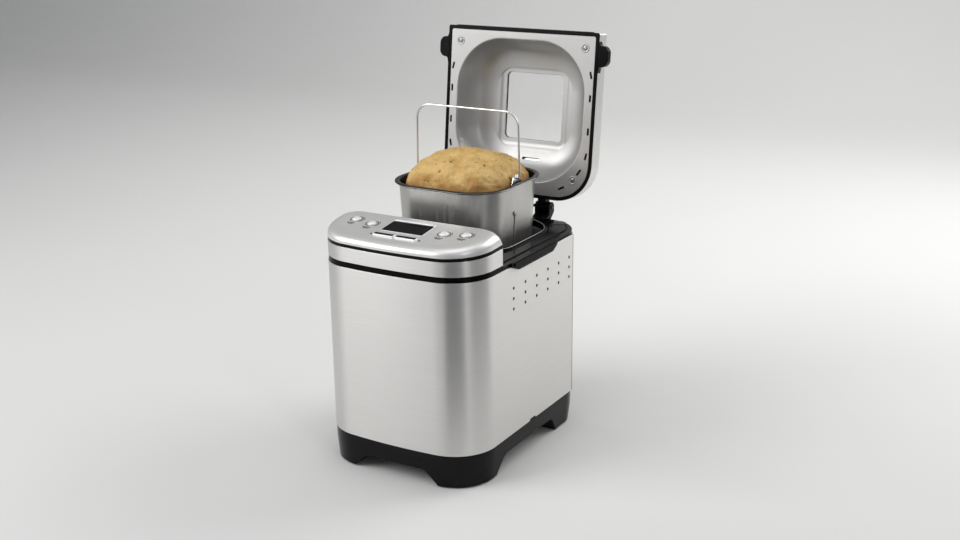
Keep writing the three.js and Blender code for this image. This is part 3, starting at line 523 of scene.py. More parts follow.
def black_plastic(name, shade, rough_low, rough_high, grain, shine):
    look = Look(name, Specular_IOR_Level=shine)
    soft = look.noise(14, detail=4)
    speck = look.noise(1900, detail=2)
    look.colour(look.blend(look.spread(soft, 0, 1, 0.35, 0.65), grey(shade), grey(shade * 1.6)))
    look.roughness(look.spread(soft, rough_low, rough_high, 0.35, 0.7))
    look.bump((speck, 0.02, grain), (look.noise(60, detail=2), 0.05, grain * 0.4))
    return look.material


def satin_metal(name, shade, rough, metallic=0.9, tint=WARM, draw=None, contrast=0.12):
    """Pressed or painted metal: faint cloudiness, fine sparkle, and drawing marks if given."""
    look = Look(name, Metallic=metallic)
    cloud = look.noise(22, detail=4)
    sparkle = look.noise(2600, detail=1)
    base = look.blend(look.spread(cloud), grey(shade * (1 - contrast), tint), grey(shade, tint))
    bright = grey(min(shade * 1.25, 1), tint)
    look.colour(look.blend(look.spread(sparkle, 0, 0.18, 0.45, 0.75), base, bright))
    if draw:
        marks = look.noise(1.0, draw, 3)
        look.roughness(look.spread(marks, rough - 0.05, rough + 0.07))
        look.bump((marks, 0.03, 0.2), (sparkle, 0.01, 0.15))
    else:
        look.roughness(look.spread(cloud, rough - 0.04, rough + 0.04))
        look.bump((sparkle, 0.015, 0.2))
    return look.material


def polished(name, shade, rough):
    look = Look(name, Metallic=1.0)
    wear = look.noise(240, detail=3)
    look.colour(look.blend(look.spread(wear), grey(shade * 0.92), grey(shade)))
    look.roughness(look.spread(wear, rough * 0.7, rough * 1.3))
    look.bump((look.noise(900, detail=2), 0.01, 0.12))
    return look.material


def rubber(name):
    look = Look(name)
    grain = look.noise(1400, detail=3)
    look.colour(look.blend(grain, grey(0.016), grey(0.03)))
    look.roughness(look.spread(grain, 0.7, 0.88))
    look.bump((grain, 0.05, 0.4))
    return look.material


def nonstick(name):
    look = Look(name, Specular_IOR_Level=0.15)
    speck = look.cells(1500)
    cloud = look.noise(30, detail=4)
    base = look.blend(look.spread(cloud), grey(0.017), grey(0.035))
    look.colour(look.blend(look.spread(speck, 1, 0, 0.05, 0.14), base, grey(0.13)))
    look.roughness(look.spread(cloud, 0.32, 0.46))
    look.bump((look.noise(1100, detail=2), 0.02, 0.3))
    return look.material


def glass(name):
    look = Look(name, Roughness=0.02, IOR=1.45, Transmission_Weight=1.0)
    smear = look.noise(35, detail=3)
    look.colour(look.blend(look.spread(smear, 0, 1, 0.35, 0.65), grey(0.97), grey(1.0)))
    return look.material


def display_glass(name):
    look = Look(name, Specular_IOR_Level=0.04)
    dots = look.cells(2600)
    look.colour(look.blend(look.spread(dots, 0, 1, 0.1, 0.3), grey(0.002), grey(0.004)))
    look.roughness(look.spread(look.noise(60), 0.08, 0.15))
    return look.material


def crust(name):
    """Baked crust: pale gold on top, browner towards the rim, with pores and grit, and painted shade
    darkening the pits.
    """
    look = Look(name, Subsurface_Weight=0.06, Subsurface_Radius=(0.004, 0.002, 0.001))
    broad = look.noise(38, detail=5, rough=0.6)
    patch = look.noise(130, detail=5, rough=0.65)
    pores = look.cells(420)
    rim = (PAN_RIM + PAN_LIFT) * MM
    pale = (0.78, 0.53, 0.2, 1)
    gold = (0.62, 0.38, 0.105, 1)
    brown = (0.4, 0.19, 0.04, 1)
    top = look.blend(look.spread(broad, 0, 1, 0.36, 0.62), gold, pale)
    top = look.blend(look.spread(patch, 0, 0.55, 0.5, 0.72), top, (0.8, 0.6, 0.27, 1))
    height = look.node("SeparateXYZ", {"Vector": look.place}).outputs["Z"]
    height = look.node("Math", {0: height, 1: look.spread(broad, -0.012, 0.012)},
                       operation="ADD").outputs[0]
    sides = look.blend(look.spread(height, 0.85, 0, rim, rim + 0.02), top, brown)
    pitted = look.blend(look.spread(pores, 0.7, 0, 0.1, 0.26), sides, (0.3, 0.13, 0.03, 1))
    grit = look.noise(900, detail=3, rough=0.7)
    pitted = look.blend(look.spread(grit, 0, 0.6, 0.5, 0.68), pitted, (0.36, 0.17, 0.035, 1))
    # Painted shade in the pits: the crust darkens with each point's pit depth.
    pits = look.node("Attribute", attribute_name="pit").outputs["Fac"]
    look.colour(look.blend(pits, pitted, (0.05, 0.016, 0.004, 1)))
    look.roughness(look.spread(patch, 0.55, 0.75))
    look.bump((patch, 0.7, 0.4), (look.noise(480, detail=6, rough=0.8), 0.8, 0.9))
    return look.material


def circuit_board(name):
    look = Look(name, Roughness=0.45)
    traces = look.cells(260, (1, 1, 0.2))
    look.colour(look.blend(look.spread(traces, 1, 0, 0.2, 0.3), (0.012, 0.1, 0.03, 1), (0.03, 0.2, 0.07, 1)))
    look.bump((traces, 0.05, 0.3))
    return look.material


WRAP_STEEL = brushed_steel("brushed_steel", (9, 9, 2600), True)
LID_STEEL = brushed_steel("brushed_steel_lid", (7, 1500, 1500), False)
GLOSS_BLACK = black_plastic("gloss_black", 0.004, 0.12, 0.2, 0.04, 0.14)
MATTE_BLACK = black_plastic("matte_black", 0.007, 0.4, 0.52, 0.25, 0.07)
SATIN_BLACK = black_plastic("satin_black", 0.005, 0.18, 0.28, 0.06, 0.08)
DECK_BLACK = black_plastic("deck_black", 0.003, 0.14, 0.22, 0.05, 0.05)
PANEL_SILVER = satin_metal("silver_plastic", 0.84, 0.4, 0.72, contrast=0.04)
LINER_SILVER = satin_metal("liner_metal", 0.5, 0.45, 0.8, contrast=0.05)
PAN_ALUMINIUM = satin_metal("pan_metal", 0.52, 0.35, 0.95, (1, 0.985, 0.95), (260, 260, 5))
RIM_METAL = satin_metal("rim_metal", 0.16, 0.26, 1.0, contrast=0.1)
BARE_STEEL = satin_metal("bare_steel", 0.42, 0.34, 1.0, (0.97, 0.99, 1.0), (300, 8, 300), 0.2)
DARK_STEEL = satin_metal("heater_steel", 0.12, 0.45, 0.9, (1, 0.95, 0.9), contrast=0.4)
CHROME = polished("bright_wire", 0.82, 0.16)
CAP_SILVER = satin_metal("button_silver", 0.95, 0.32, 0.3, (1, 1, 1), contrast=0.02)
RUBBER = rubber("black_rubber")
NONSTICK = nonstick("nonstick")
GLASS = glass("clear_glass")
DISPLAY_BLACK = display_glass("display_black")
CRUST = crust("crust")
CIRCUIT = circuit_board("circuit")

# ---- plinth ----
FLOOR_Z = 27.0
BELOW = -2.0
PLINTH_WALL = 3.0
PLINTH_TAPER = 3.3


def side_hole(line, radius=0.0):
    """Cutter through both sides of the machine, on a (depth, height) outline."""
    return prism(filleted(line, radius) if radius else line, -PAST_SIDE, PAST_SIDE, 0, "x")


def plinth():
    """Tapered hollow base on four feet, with arches between them and an access hole below."""
    form = skin(stack(body_outline, [
        (PLINTH_TAPER + 0.8, PLINTH_FOOT), (PLINTH_TAPER, PLINTH_FOOT + 0.8), (1, 30),
        (0.45, PLINTH_TOP - 0.6), (0.9, PLINTH_TOP)]))
    room = skin(stack(body_outline, [
        (PLINTH_TAPER + PLINTH_WALL, FLOOR_Z + PLINTH_WALL), (0.4 + PLINTH_WALL, PLINTH_TOP + 1)]))
    access = rounded_rect(-60, 60, -50, 110, 6, steps=5)
    front_arch = filleted([(-73, BELOW), (-46, 24), (50, 24), (60, 15), (75, BELOW)], 9)
    tools = (
        room, prism(body_outline(PLINTH_TAPER + 29), -1, FLOOR_Z, 0),
        prism(access, FLOOR_Z - 1, FLOOR_Z + PLINTH_WALL + 1, 0),
        side_hole([(-80, BELOW), (-55, FLOOR_Z), (88, FLOOR_Z), (107, BELOW)], 9),
        prism(front_arch, -170, -60, 0, "y"),
        side_hole([(144, BELOW), (158, FLOOR_Z), (200, FLOOR_Z), (200, BELOW)]))
    for tool in tools:
        form = carve(form, tool)
    return form


def plinth_tabs():
    """A tab on each side that stands in the wrap's notch."""
    line = filleted([(10, 47), (42, 47), (32, 53), (18, 53)], 1.2)
    return both_sides(prism(line, HALF_W - 2.4, HALF_W - 0.6, 0.4, "x"))


piece("plinth", plinth(), GLOSS_BLACK, "cabinet", ["base_plinth"], bevel=0.7)
piece("plinth_side_tabs", plinth_tabs(), GLOSS_BLACK, "cabinet")

FOOT_PAD = turned(bevelled([
    (0, 0), (3, 0), (3, 0.35), (5, 0.35), (5, 0), (7.4, 0), (8, 0.6), (8, 1.2), (0, 1.2)], 0.12))
for end in ("front", "rear"):
    for name, _ in SIDES:
        node = f"foot_pad_{end}_{name}"
        centre = (low(node) + high(node)) / 2
        piece(node + "_rubber", FOOT_PAD.at(centre.x, centre.y - SHIFT), RUBBER, "cabinet", [node])

# ---- cabinet walls ----
VENT_R = 2.4
VENT_COLUMNS = 6
VENT_ROWS = 3
VENT_FRONT = -30.4
VENT_PITCH_Y = 33.76
VENT_TOP = 267.8
VENT_PITCH_Z = 15.14
GLAND_X = -58
GLAND_Z = 78
REAR_SLOT_PITCH = 8
REAR_SLOT_HALF = 20
# Banks of rear slots: middle, half height of the slots, half height of the frame.
REAR_BANKS = ((225, 20, 27), (110, 15, 21))


def steel_wrap():
    """Sheet round the front and sides, with vents that widen inwards and a notch on each side."""
    sheet = prism(front_band(0, SHEET, WRAP_REAR_Y), WRAP_FOOT, WRAP_TOP, 0.4)
    hole = turned([(0, 126), (4.6, 126), (4.6, HALF_W - 1), (VENT_R, HALF_W - 0.3),
                   (VENT_R, PAST_SIDE), (0, PAST_SIDE)], "x", 20)
    vents = [both_sides(hole.at(0, VENT_FRONT + VENT_PITCH_Y * i, VENT_TOP - VENT_PITCH_Z * k))
             for i in range(VENT_COLUMNS) for k in range(VENT_ROWS)]
    return carve(sheet, *vents, side_hole([(9, 40), (43, 40), (32.5, 53.5), (17.5, 53.5)], 1))


def vent_backing():
    """Dark sheet behind the vent holes, painted shade for the dark inside of the cabinet."""
    return both_sides(prism(rounded_rect(-45, 146, 222, 282, 6, steps=4), 126.9, 128.1, 0.2, "x"))


def wrap_edging():
    """Thin strip that closes the wrap's rear edge on each side."""
    return both_sides(block(HALF_W - 2, HALF_W, WRAP_REAR_Y + 0.1, WRAP_REAR_Y + 1.8, WRAP_FOOT,
                            WRAP_TOP))


def rear_housing():
    form = prism(rear_band(0, 2.6, WRAP_REAR_Y + GAP), WRAP_FOOT, WRAP_TOP, 0.6)
    slot = filleted(rect(1.7, REAR_SLOT_HALF), 1.6, 4)
    slots = []
    for middle, half, _ in REAR_BANKS:
        tall = half / REAR_SLOT_HALF
        slots += [prism([(REAR_SLOT_PITCH * i + x, middle + z * tall) for x, z in slot], 180, 200, 0, "y")
                  for i in range(-7, 8)]
    return carve(form, rod(7.4, 180, 200, "y", 0, 40).at(GLAND_X, 0, GLAND_Z), *slots)


def rear_frames():
    """A raised frame round each bank of slots."""
    form = Form()
    for middle, _, half in REAR_BANKS:
        outer = rounded_rect(-66, 66, middle - half, middle + half, 7, steps=6)
        half -= 2.5
        inner = rounded_rect(-63.5, 63.5, middle - half, middle + half, 5, steps=6)
        rings = [[(x, REAR_Y + proud, z) for x, z in line] for line, proud in (
            (outer, -0.3), (outer, 0.6), (inset_outline(outer, 0.5), 1.1),
            (inset_outline(inner, -0.5), 1.1), (inner, 0.6), (inner, -0.3))]
        form = form + skin(rings, True)
    return form


def cross_headed(head, half_length, half_width, start, end, axis):
    """A screw head less its cross recess."""
    for size in ((half_length, half_width), (half_width, half_length)):
        head = carve(head, prism(rect(*size), start, end, 0, axis))
    return head


def rear_screws():
    head = turned([(0, -2), (3.4, -2), (3.4, 0.5), (2.6, 1.1), (0, 1.2)], "y", 28)
    head = cross_headed(head, 2, 0.45, 0.4, 2, "y")
    places = ((60, 278), (-60, 278), (60, 66), (-66, 66))
    return sum((head.at(x, REAR_Y, z) for x, z in places), Form())


def gland():
    """Ribbed sleeve for the mains lead."""
    flange = [(4, -9), (7, -9), (7, 0.3), (10.5, 0.3), (10.5, 3.4), (7.5, 4.2)]
    ribs = [(7.2, 6), (6.6, 6.4), (7, 8), (6.3, 8.6), (6.6, 10.4), (6, 11), (6.2, 13), (5.6, 14), (4, 14)]
    return turned(filleted(flange + ribs, 0.25, 3), "y", 40, ring=True)


piece("cabinet_wrap", steel_wrap(), WRAP_STEEL, "cabinet", ["steel_wrap"])
# Painted shade: a dark sheet behind the vents, so that the holes read as the shaded inside.
piece("vent_backing", vent_backing(), MATTE_BLACK, "cabinet")
piece("wrap_edging", wrap_edging(), MATTE_BLACK, "cabinet")
piece("rear_cover", rear_housing(), MATTE_BLACK, "cabinet", ["rear_housing"], bevel=0.4)
piece("rear_slot_frames", rear_frames(), MATTE_BLACK, "cabinet")
piece("rear_screws", rear_screws(), BARE_STEEL, "cabinet")
piece("gland", gland().at(GLAND_X, REAR_Y, GLAND_Z), RUBBER, "cabinet", ["cord_gland"])

# ---- deck ----
MOUTH_GROW = 2.0
DECK_FOOT = 300.3
LEDGE_Z = 305.8
LIP_Z = 310.8
BOSS_X = 93
BOSS_Y = 171


def mouth(grow):
    return oven_line(MOUTH_GROW + grow)


def top_deck():
    """Ledge, groove and plateau outside, raised lip round the oven's mouth inside."""
    outside = stack(body_outline, [(1.4, 0), (0.8, 0.6)], DECK_FOOT)
    outside += stack(body_outline, [
        (0.8, -0.6), (1.4, 0), (7.4, 0), (8, -0.6), (8.4, -0.9), (9.2, -0.9), (9.6, -0.4)], LEDGE_Z)
    outside += stack(body_outline, [(10, -0.6), (10.6, 0), (13, 0)], DECK_TOP)
    inside = stack(mouth, [(6, 0), (3.6, 0), (3, 0.6)], DECK_TOP)
    inside += stack(mouth, [(2.8, -0.6), (2.3, 0), (0.9, 0), (0.3, -0.6), (0, -1.4)], LIP_Z)
    inside += stack(mouth, [(0, 0.7), (0.6, 0)], DECK_FOOT)
    top = plate(body_outline(13), mouth(6), DECK_TOP)
    return sleeve(outside) + sleeve(inside) + top + plate(body_outline(1.4), mouth(0.6), DECK_FOOT)


def head_seat():
    """Raised floor of the deck below the control head."""
    return prism(head_outline(0.8, LID_FRONT_Y - 1), 304.2, DECK_TOP, 0.5)


def mouth_trim():
    """Steel bead round the inner edge of the mouth's lip."""
    return tube([Vector((x, y, LIP_Z - 0.9)) for x, y in mouth(-0.4)], 0.8, 10, True)


def deck_bosses():
    """Low round bosses for the lid's rear rest."""
    boss = turned([(1.8, 307), (1.8, 307.9), (2.2, 308.2), (8.8, 308.2), (9.4, 307.9), (13, 307.8),
                   (13.8, 307.4), (14.2, 306.6), (14.2, 305.4), (3, 305.4)], ring=True)
    return both_sides(boss.at(BOSS_X, BOSS_Y))


def finger_pads():
    """Bevelled pad hanging over the wrap's top edge on each side."""
    pad = [(-40, 300), (-19, 292), (82, 292), (96, 300), (96, LEDGE_Z), (-40, LEDGE_Z)]
    face = [(-34, 300), (-16, 294.5), (79, 294.5), (90, 300), (90, 304), (-34, 304)]
    neck = [(-38, 300.5), (94, 300.5), (94, 305.6), (-38, 305.6)]
    return both_sides(prism(filleted(pad, 2.5), HALF_W + GAP, 133, 0.7, "x")
                      + prism(filleted(face, 2), 132, 134.9, 1.0, "x") + prism(neck, 125, 131.4, 0.3, "x"))


piece("deck", top_deck(), DECK_BLACK, "cabinet", ["top_deck"], smooth=40)
piece("deck_head_seat", head_seat(), DECK_BLACK, "cabinet")
piece("mouth_trim", mouth_trim(), BARE_STEEL, "cabinet", smooth=60)
piece("deck_bosses", deck_bosses(), GLOSS_BLACK, "cabinet")
piece("finger_pads", finger_pads(), DECK_BLACK, "cabinet")


# ---- control head ----
def band_top(y):
    return 328.6 + 0.0396 * (y - FRONT_Y)


def panel_foot(y):
    return 333.5 + 0.0496 * (y - FRONT_Y)


def panel_top(y):
    return PANEL_REAR_Z + PANEL_SLOPE * (y - HEAD_REAR_Y)


def above(height, rise):
    """A height that follows another one at a distance."""
    return lambda y: height(y) + rise


def head_band():
    return prism(front_band(GAP, GAP + SHEET, HEAD_REAR_Y), DECK_TOP + GAP, band_top, 0.4)


def head_frame():
    """Black strip between the steel band and the panel, with the head's rear wall."""
    wall_rear = HEAD_REAR_Y - 2.5
    return skin(stack(head_outline, [
        (1.8, DECK_TOP + GAP), (1.8, above(band_top, GAP)), (1.1, above(band_top, GAP)),
        (0.8, above(band_top, 0.6)), (0.8, above(panel_foot, -0.6)), (1.1, above(panel_foot, -GAP)),
        (4.2, wall_rear, above(panel_foot, -GAP)), (4.2, wall_rear, DECK_TOP + 3)]))


piece("head_band_steel", head_band(), WRAP_STEEL, "cabinet", ["head_band"])
piece("head_frame_black", head_frame(), SATIN_BLACK, "cabinet", ["head_frame"])

# Frame on the sloping panel: x across, y up the slope from its rear edge, z out of it.
PANEL_TURN = math.atan(PANEL_SLOPE)
PANEL_FRAME = Matrix.Translation((0, HEAD_REAR_Y, PANEL_REAR_Z)) @ Matrix.Rotation(PANEL_TURN, 4, "X")


def on_slope(y):
    """Distance down the panel from its rear edge."""
    return (y - HEAD_REAR_Y) / math.cos(PANEL_TURN)


ROUND_BUTTONS = {
    "menu_button": (-90, on_slope(-88)), "crust_button": (-59, on_slope(-95)),
    "loaf_button": (59, on_slope(-95)), "start_button": (90, on_slope(-88)),
}
BAR_BUTTONS = {"time_down_button": -17.9, "time_up_button": 17.9}
ROUND_R = 6.5
RING_R = 8.3
RING_WIDTH = 1.4
BAR_HALF_X = 16.6
BAR_HALF_Y = 4.0
BAR_Y = on_slope(-126.0)
DISPLAY_HALF_X = high("display_lens").x
DISPLAY_FRONT = on_slope(-107.0)
DISPLAY_REAR = on_slope(-77.0)


def panel_outline(inset, rear_y, corner):
    side = HALF_W - inset - corner
    return (front_arcs(inset) + arc(side, rear_y - corner, corner, 0, 90, 8)
            + arc(-side, rear_y - corner, corner, 90, 180, 8))


def bar_rect(x, grow_x, grow_front, grow_rear, radius):
    half = BAR_HALF_X + grow_x
    return rounded_rect(x - half, x + half, BAR_Y - BAR_HALF_Y - grow_front,
                        BAR_Y + BAR_HALF_Y + grow_rear, radius, steps=4)


def display_rect(grow, grow_front, grow_rear, radius, steps=6):
    half = DISPLAY_HALF_X + grow
    return rounded_rect(-half, half, DISPLAY_FRONT - grow_front, DISPLAY_REAR + grow_rear, radius,
                        steps=steps)


def control_panel():
    """Silver shell whose edge rolls down as a quarter superellipse, with wells for the controls."""
    depth = 21
    power = 0.72
    wall = 2.3
    turns = [math.radians(90 * k / 18) for k in range(19)]
    roll = [(depth * (1 - math.cos(t) ** power), math.sin(t) ** power) for t in turns]

    def ring(inset, share, rear_y, drop):
        return level(panel_outline(GAP + inset, rear_y, 0.8 + 15 * share),
                     lambda y: panel_foot(y) + share * (panel_top(y) - panel_foot(y)) - drop)

    outside = [ring(inset, share, HEAD_REAR_Y - max(0, share - 0.86) * 12, 0) for inset, share in roll]
    inside = [ring(wall + inset, share, HEAD_REAR_Y - wall - 2, 2.5 if share else 0) for inset, share in roll]
    well = turned([(0, -6), (7, -6), (7, -0.5), (7.7, 0.1), (7.7, 6), (0, 6)], steps=40)
    well = well + pipe(RING_R, RING_R + RING_WIDTH, -0.6, 2, 64)
    tools = [well.at(x, y) for x, y in ROUND_BUTTONS.values()]
    tools += [prism(bar_rect(x, 0.4, 0.4, 0.4, 1.4), -6, 6, 0) for x in BAR_BUTTONS.values()]
    tools.append(prism(display_rect(2.4, 2.4, 2.4, 1.5, 4), -6, 6, 0))
    return carve(skin(inside[::-1] + outside), *[tool.moved(PANEL_FRAME) for tool in tools])


def display_bezel():
    """Thin frame round the display, with a broad bright bar behind it."""
    frame_rings = stack(display_rect, [
        (2, 2, 2, 1, -2.4), (2, 2, 2, 1, GAP), (4.4, 5.4, 4.4, 3, GAP), (4.5, 5.5, 4.5, 3.1, 0.5),
        (4.2, 5.2, 4.2, 2.9, 0.8), (3.8, 4.8, 3.8, 2.5, 0.9), (3.5, 4.5, 3.5, 2.2, 0.8),
        (3.4, 4.4, 3.4, 2, 0.4), (3.2, 4.2, 3.2, 1.8, 0.1), (0.3, 0.3, 0.3, 0.2, 0.1),
        (0.3, 0.3, 0.3, 0.2, -2.4)])
    half = DISPLAY_HALF_X - 0.6
    bar = block(-half, half, DISPLAY_REAR - 1.4, DISPLAY_REAR + 3, 0.2, 2.2, 0.8, 1.2)
    return skin(frame_rings, True) + bar


def display_lens():
    """Pane with a thin raised sheet over it."""
    sheet = prism(display_rect(3.1, 4.1, -1.6, 1.8), 0.15, 0.75, 0.15)
    return prism(display_rect(0, 0, 0, 0.5), -2, 0.1, 0.1) + sheet


def round_cap():
    """Domed button on a flange and a stem."""
    dome = [(ROUND_R - 1, 1.6), (5, 1.9), (4, 2.2), (2.6, 2.45), (1.2, 2.55), (0, 2.58)]
    return turned([(0, -10.5), (2, -10.5), (2, -5.2), (8.2, -5.2), (8.2, -4), (ROUND_R, -4), (ROUND_R, 0.6),
                   (ROUND_R - 0.3, 1.1)] + dome)


def bar_cap(x):
    """Flat button with a flange and stem below and a tray for the dark strip of painted shade on its top."""
    tray = prism(bar_rect(x, -0.8, -1.3, -0.5, 0.8), 1.4, 3, 0)
    flange = block(x - 17.2, x + 17.2, BAR_Y - 5.4, BAR_Y + 5.4, -5.2, -4.2)
    stem = block(x - 2, x + 2, BAR_Y - 2, BAR_Y + 2, -10.5, -5.1)
    return carve(prism(bar_rect(x, 0, 0, 0, 1.2), -5, 2.1, 0.5), tray) + flange + stem


def printed(outline):
    return prism(outline, -0.1, 0.12, 0)


def panel_marks():
    """Dark ring in each button's groove, painted shade at the groove's bottom, and printed marks: arcs,
    dashes and an arrow by each bar.
    """
    # The dark ring is painted shade, laid in the groove where shade falls.
    marks = pipe(RING_R + 0.05, RING_R + RING_WIDTH - 0.05, -0.8, -0.2, 64)
    marks = marks + printed(arc(0, 0, 11.9, -48, 48, 12) + arc(0, 0, 11.1, 48, -48, 12))
    for drop, half in ((14.05, 6.4), (17.05, 4.4)):
        marks = marks + printed(rect(half, 0.75)).at(0, -drop)
    arrows = both_sides(printed([(37.6, 2.6), (41.4, 0), (37.6, -2.6)])).at(0, BAR_Y)
    return sum((marks.at(x, y) for x, y in ROUND_BUTTONS.values()), arrows)


def panel_piece(name, form, look, body, nodes=(), **options):
    """A piece drawn on the panel's plane and put in its place."""
    piece(name, form.moved(PANEL_FRAME), look, body, nodes, **options)


piece("panel_shell", control_panel(), PANEL_SILVER, "cabinet", ["control_panel"], smooth=28)
panel_piece("display_frame", display_bezel(), CAP_SILVER, "cabinet", ["display_bezel"])
panel_piece("display_window", display_lens(), DISPLAY_BLACK, "cabinet", ["display_lens"])
for name, (x, y) in ROUND_BUTTONS.items():
    panel_piece(name + "_metal", round_cap().at(x, y), CAP_SILVER, name + "_cap", [name])
for name, x in BAR_BUTTONS.items():
    # A dark strip in each bar's tray: painted shade on the button's top face.
    shade_inlay = prism(bar_rect(x, -1, -1.5, -0.7, 0.7), 1.2, 1.9, 0.2)
    panel_piece(name + "_metal", bar_cap(x), CAP_SILVER, name + "_cap", [name])
    panel_piece(name + "_inlay", shade_inlay, MATTE_BLACK, name + "_cap", slot="gloss_black")
# Printed marks, with painted shade in the button grooves.
panel_piece("panel_marks", panel_marks(), MATTE_BLACK, "cabinet")

# ---- oven ----
OVEN_FLOOR = 117.2
OVEN_FRONT = OVEN_Y - OVEN_HALF_Y
ELEMENT_Z = 138.0
ELEMENT_EXIT_X = 14.0
PROBE_Z = 178.0


def oven_liner():
    """Tub with rounded foot and a flange, drilled for the shaft, the element's ends and the probe."""
    foot = stack(oven_line, [(SHEET - 3, -SHEET), (SHEET, 2)], OVEN_FLOOR)
    flange = stack(oven_line, [(SHEET, -SHEET), (7, -SHEET), (7, -0.2), (6.6, 0), (1.5, 0), (0.4, -0.4),
                               (0, -1.6)], WRAP_TOP - GAP)
    floor = stack(oven_line, [(0, 4), (-1, 1.2), (-3.6, 0)], OVEN_FLOOR)
    holes = [rod(radius, OVEN_FRONT - 8, OVEN_FRONT + 8, "y", 0, 24).at(x, 0, z) for radius, x, z in (
        (4, -ELEMENT_EXIT_X, ELEMENT_Z), (4, ELEMENT_EXIT_X, ELEMENT_Z), (4.6, 0, PROBE_Z))]
    return carve(skin(foot + flange + floor), *holes, rod(9, 110, 120, edge=0, steps=40).at(0, OVEN_Y))


def looped_wire(half_loop, steps, radius):
    """Wire symmetric about the middle plane; half_loop has (x, y, z, bend radius) from its end inwards."""
    left = [(-x, y, z, bend) for x, y, z, bend in half_loop]
    return tube(bent_line(left + half_loop[::-1], steps), radius, 16)


def heating_element():
    half_x = 89
    near = OVEN_Y - 91
    far = OVEN_Y + 91
    corners = [(ELEMENT_EXIT_X, OVEN_FRONT - 14, 0), (ELEMENT_EXIT_X, near, 6), (half_x, near, 50),
               (half_x, far, 50)]
    return looped_wire([(x, y, ELEMENT_Z, bend) for x, y, bend in corners], 10, 3.1)


def probe():
    line = [(0, -16), (4, -16), (4, -9), (8, -9), (8, -3), (4, -3), (4, 5), (3, 6), (0, 6)]
    return turned(bevelled(line, 0.4), "y", 32).at(0, OVEN_FRONT, PROBE_Z)


piece("oven_tub", oven_liner(), LINER_SILVER, "cabinet", ["oven_liner"])
piece("heater_tube", heating_element(), DARK_STEEL, "cabinet", ["heating_element"])
piece("probe", probe(), CHROME, "cabinet", ["temperature_probe"], slot="bare_steel")

# ---- pan (drawn seated, then lifted) ----
LIFTED = Matrix.Translation((0, 0, PAN_LIFT))
PLATE_IN_X = 80.6
WIRE_R = 1.5
BAIL_END = 78.8
BAIL_HALF = 86.6
BAIL_REACH = 95.0
FOOT_LESS = 34
RIM_LESS = 35


def pan_line(half, less=RIM_LESS):
    """Plan of the pan at a half width; its corner radius is a little less."""
    return oven_rect(half, half + 2, half - less)


def pan_foot(profile):
    """Rings of the pan's lower part, from (half width, height over the base) pairs."""
    return stack(pan_line, [(half, FOOT_LESS, z) for half, z in profile], PAN_BASE)


def pan_shell():
    """Drawn tub with a rolled rim, a foot ring and a bearing boss."""
    outside = pan_foot([(73.4, 0), (76, 1), (77.6, 2.6), (78.1, 5)])
    rim = stack(pan_line, [
        (85, -4), (85.8, -3.2), (87.4, -2.8), (89.8, -2.7), (90.9, -2.2), (91.3, -1.4), (91, -0.6),
        (90, -0.1), (88.4, 0), (86, -0.1), (84.8, -0.6), (84.2, -1.6), (83.9, -4)], PAN_RIM)
    tub = skin(outside + rim + pan_foot([(77, 6), (76, 3.4), (73, 1.5)]))
    top = PAN_BASE + 1
    foot = turned([(40.5, 118.5), (41, 118), (43.5, 118), (44, 118.5), (44, top), (40.5, top)],
                  steps=72, ring=True)
    boss = turned([(BORE_R, 138.4), (9.4, 138.4), (10, 139), (9.2, 148.4), (8.6, 149), (BORE_R, 149)],
                  steps=36, ring=True)
    return carve(tub, rod(BORE_R, 130, 155, edge=0).at(0, OVEN_Y)) + (foot + boss).at(0, OVEN_Y)


def pan_coating():
    """Non-stick layer over the rim and the inside of the tub, with a floor sheet round the bearing."""
    rim = [(90.9, 0.1), (90, 0.45), (88, 0.6), (85.4, 0.2), (84.4, -0.5), (83.9, -1.6), (83.8, -4.4),
           (83.5, -4)]
    foot = [(76.6, 6.4), (75.4, 3.6), (72, 2.1), (60, 1.9)]
    upper = [(half, RIM_LESS, PAN_RIM + z) for half, z in rim]
    upper += [(half, FOOT_LESS, PAN_BASE + z) for half, z in foot]
    lower = [(half + 0.2, less, z - 0.2) for half, less, z in upper[::-1]]
    floor = skin(pan_foot([(60.2, 1.65), (60.2, 1.9)]))
    hole = rod(9.6, 130, 155, edge=0, steps=40).at(0, OVEN_Y)
    return skin(stack(pan_line, upper + lower), True) + carve(floor, hole)


def pan_rim_bead():
    """Dark bead rolled round the outside of the rim."""
    return skin(stack(pan_line, [
        (91.2, -1.9), (91.6, -1.2), (91.2, -0.4), (90, 0.15), (89.4, 0.2), (89.3, -0.1), (90, -0.2),
        (90.9, -0.7), (91, -1.3)], PAN_RIM), True)


def pan_ribs():
    """Pressed rib down each side wall, with a round dimple at its top."""
    rib_y = 57
    places = ((83.45, 246), (82.55, 230), (81.05, 200), (79.55, 172), (78.45, 152))
    dome = turned([(0, 0), (3.6, 0), (3.4, 0.5), (2.4, 1.1), (0, 1.4)], "x", 28).at(84.1, rib_y, 246)
    return both_sides(tube([Vector((x, rib_y, z)) for x, z in places], 0.9, 12) + dome)


def handle_brackets():
    """Riveted plate inside the rim on each side, with an eye for the bail."""
    line = filleted([(-15, 268), (15, 268), (15, 286), (7, 301), (-7, 301), (-15, 286)], 4)
    form = carve(prism(line, PLATE_IN_X, PLATE_IN_X + 1.3, 0.25, "x").at(0, OVEN_Y),
                 rod(2.1, 78, 84, "x", 0, 24).at(0, OVEN_Y, PIVOT_Z))
    rivet = turned([(0, -1), (2.7, -1), (2.6, -0.3), (1.6, 0.5), (0, 0.8)], "x", 24).mirrored()
    for y in (-9, 9):
        form = form + rivet.at(PLATE_IN_X - 0.2, OVEN_Y + y, 276)
    return both_sides(form)


